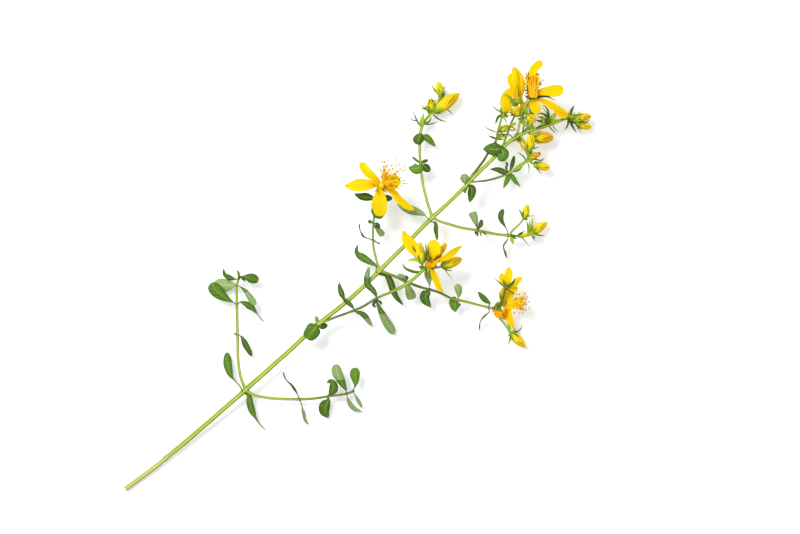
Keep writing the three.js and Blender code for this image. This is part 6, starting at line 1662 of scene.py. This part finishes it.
top_petals.build([PETAL, SEPAL, BRACT])
TOP_ANTHERS = [
    (161.0, 166.2), (160.6, 165.6), (161.1, 164.8), (160.3, 164.0), (160.8, 163.2), (160.3, 162.4),
    (160.9, 161.8), (160.3, 161.0), (160.8, 160.3), (160.5, 159.4), (161.0, 158.6), (160.5, 157.8),
    (161.1, 156.4), (160.9, 155.6), (164.4, 165.6), (165.2, 165.2), (164.6, 164.4), (165.6, 163.8),
    (164.9, 163.2), (165.8, 162.4), (166.3, 161.6), (167.2, 163.0), (165.0, 166.0), (160.6, 164.6),
    (160.1, 161.7), (160.7, 162.8), (161.2, 165.4), (160.2, 163.3), (161.1, 160.6), (160.3, 158.9),
    (160.6, 156.9), (161.3, 163.9), (160.4, 160.0), (161.2, 157.3),
]

top_stamens = Piece("top_flower_stamens")
for seed in (22, 24):
    reaching_stamens(
        top_stamens, (162.6, 157.2, 13.8), [0.0, 0.9, 0.3], TOP_ANTHERS, 2.4, 16.4, 1.2, seed, 0.35,
    )
tuft(top_stamens, [163.0, 156.4, 14.7], [0.0, 1.0, 0.12], 76, 8.8, 0.14, 13, 1.9)
knob(top_stamens, [162.6, 156.6, 13.4], [162.9, 158.2, 14.6], 0.7, 2, 0.6)
knob(top_stamens, [162.9, 156.2, 13.9], [162.9, 165.4, 14.7], 1.9, 0, 0.0)
top_stamens.build([FILAMENT, ANTHER, OVARY, POLLEN])


# Floor, light and camera: the view and the lens in millimetres, the floor, the lamps and
# NEAREST_SEEN in metres

VIEW_CENTRE = (110.2, 89.0, 5.0)
LENS = 180.0
SENSOR = 36.0
VIEW_WIDTH = 320.0
FLOOR_SIZE = 4.0
FLOOR_GLOW = 0.26
NEAREST_SEEN = 0.01


def make_floor():
    mesh = bpy.data.meshes.new("pale_floor")
    half = FLOOR_SIZE / 2
    corners = [(-half, -half, 0), (half, -half, 0), (half, half, 0), (-half, half, 0)]
    mesh.from_pydata(corners, [], [(0, 1, 2, 3)])
    f = Finish("floor_white", 0.9)
    f.feed(f.shader.inputs["Base Color"], (0.9, 0.9, 0.915, 1.0))
    f.feed(f.shader.inputs["Emission Color"], (0.98, 0.98, 1.0, 1.0))
    f.feed(f.shader.inputs["Emission Strength"], FLOOR_GLOW)
    mesh.materials.append(f.material)
    floor = bpy.data.objects.new("pale_floor", mesh)
    bpy.context.scene.collection.objects.link(floor)


def make_light(name, plan_way, distance, size, power):
    """A soft square lamp in a direction of the plan, aimed at the middle of the sprig."""
    lamp = bpy.data.lights.new(name, "AREA")
    lamp.size = size
    lamp.energy = power
    holder = bpy.data.objects.new(name, lamp)
    way = (Matrix.Rotation(TURN, 3, "Z") @ Vector(plan_way)).normalized()
    holder.location = way * distance
    holder.rotation_euler = way.to_track_quat("Z", "Y").to_euler()
    bpy.context.scene.collection.objects.link(holder)


def make_camera():
    camera = bpy.data.cameras.new("camera")
    camera.lens = LENS
    camera.sensor_width = SENSOR
    camera.clip_start = NEAREST_SEEN
    holder = bpy.data.objects.new("camera", camera)
    place = TO_FRAME @ Vector(VIEW_CENTRE)
    place.z += VIEW_WIDTH * MM * LENS / SENSOR
    holder.location = place
    holder.rotation_euler = (0, 0, TURN)
    bpy.context.scene.collection.objects.link(holder)
    bpy.context.scene.camera = holder


def make_world(colour, strength):
    world = bpy.data.worlds.new("studio")
    world.use_nodes = True
    background = world.node_tree.nodes["Background"]
    background.inputs["Color"].default_value = colour
    background.inputs["Strength"].default_value = strength
    bpy.context.scene.world = world


make_floor()
make_light("key", (-0.6, 0.65, 1.0), 1.4, 0.6, 15.0)
make_light("fill", (0.6, -0.3, 1.0), 1.6, 1.6, 3.0)
make_camera()
make_world((0.97, 0.97, 1.0, 1.0), 0.6)
bpy.context.scene.view_settings.view_transform = "Standard"
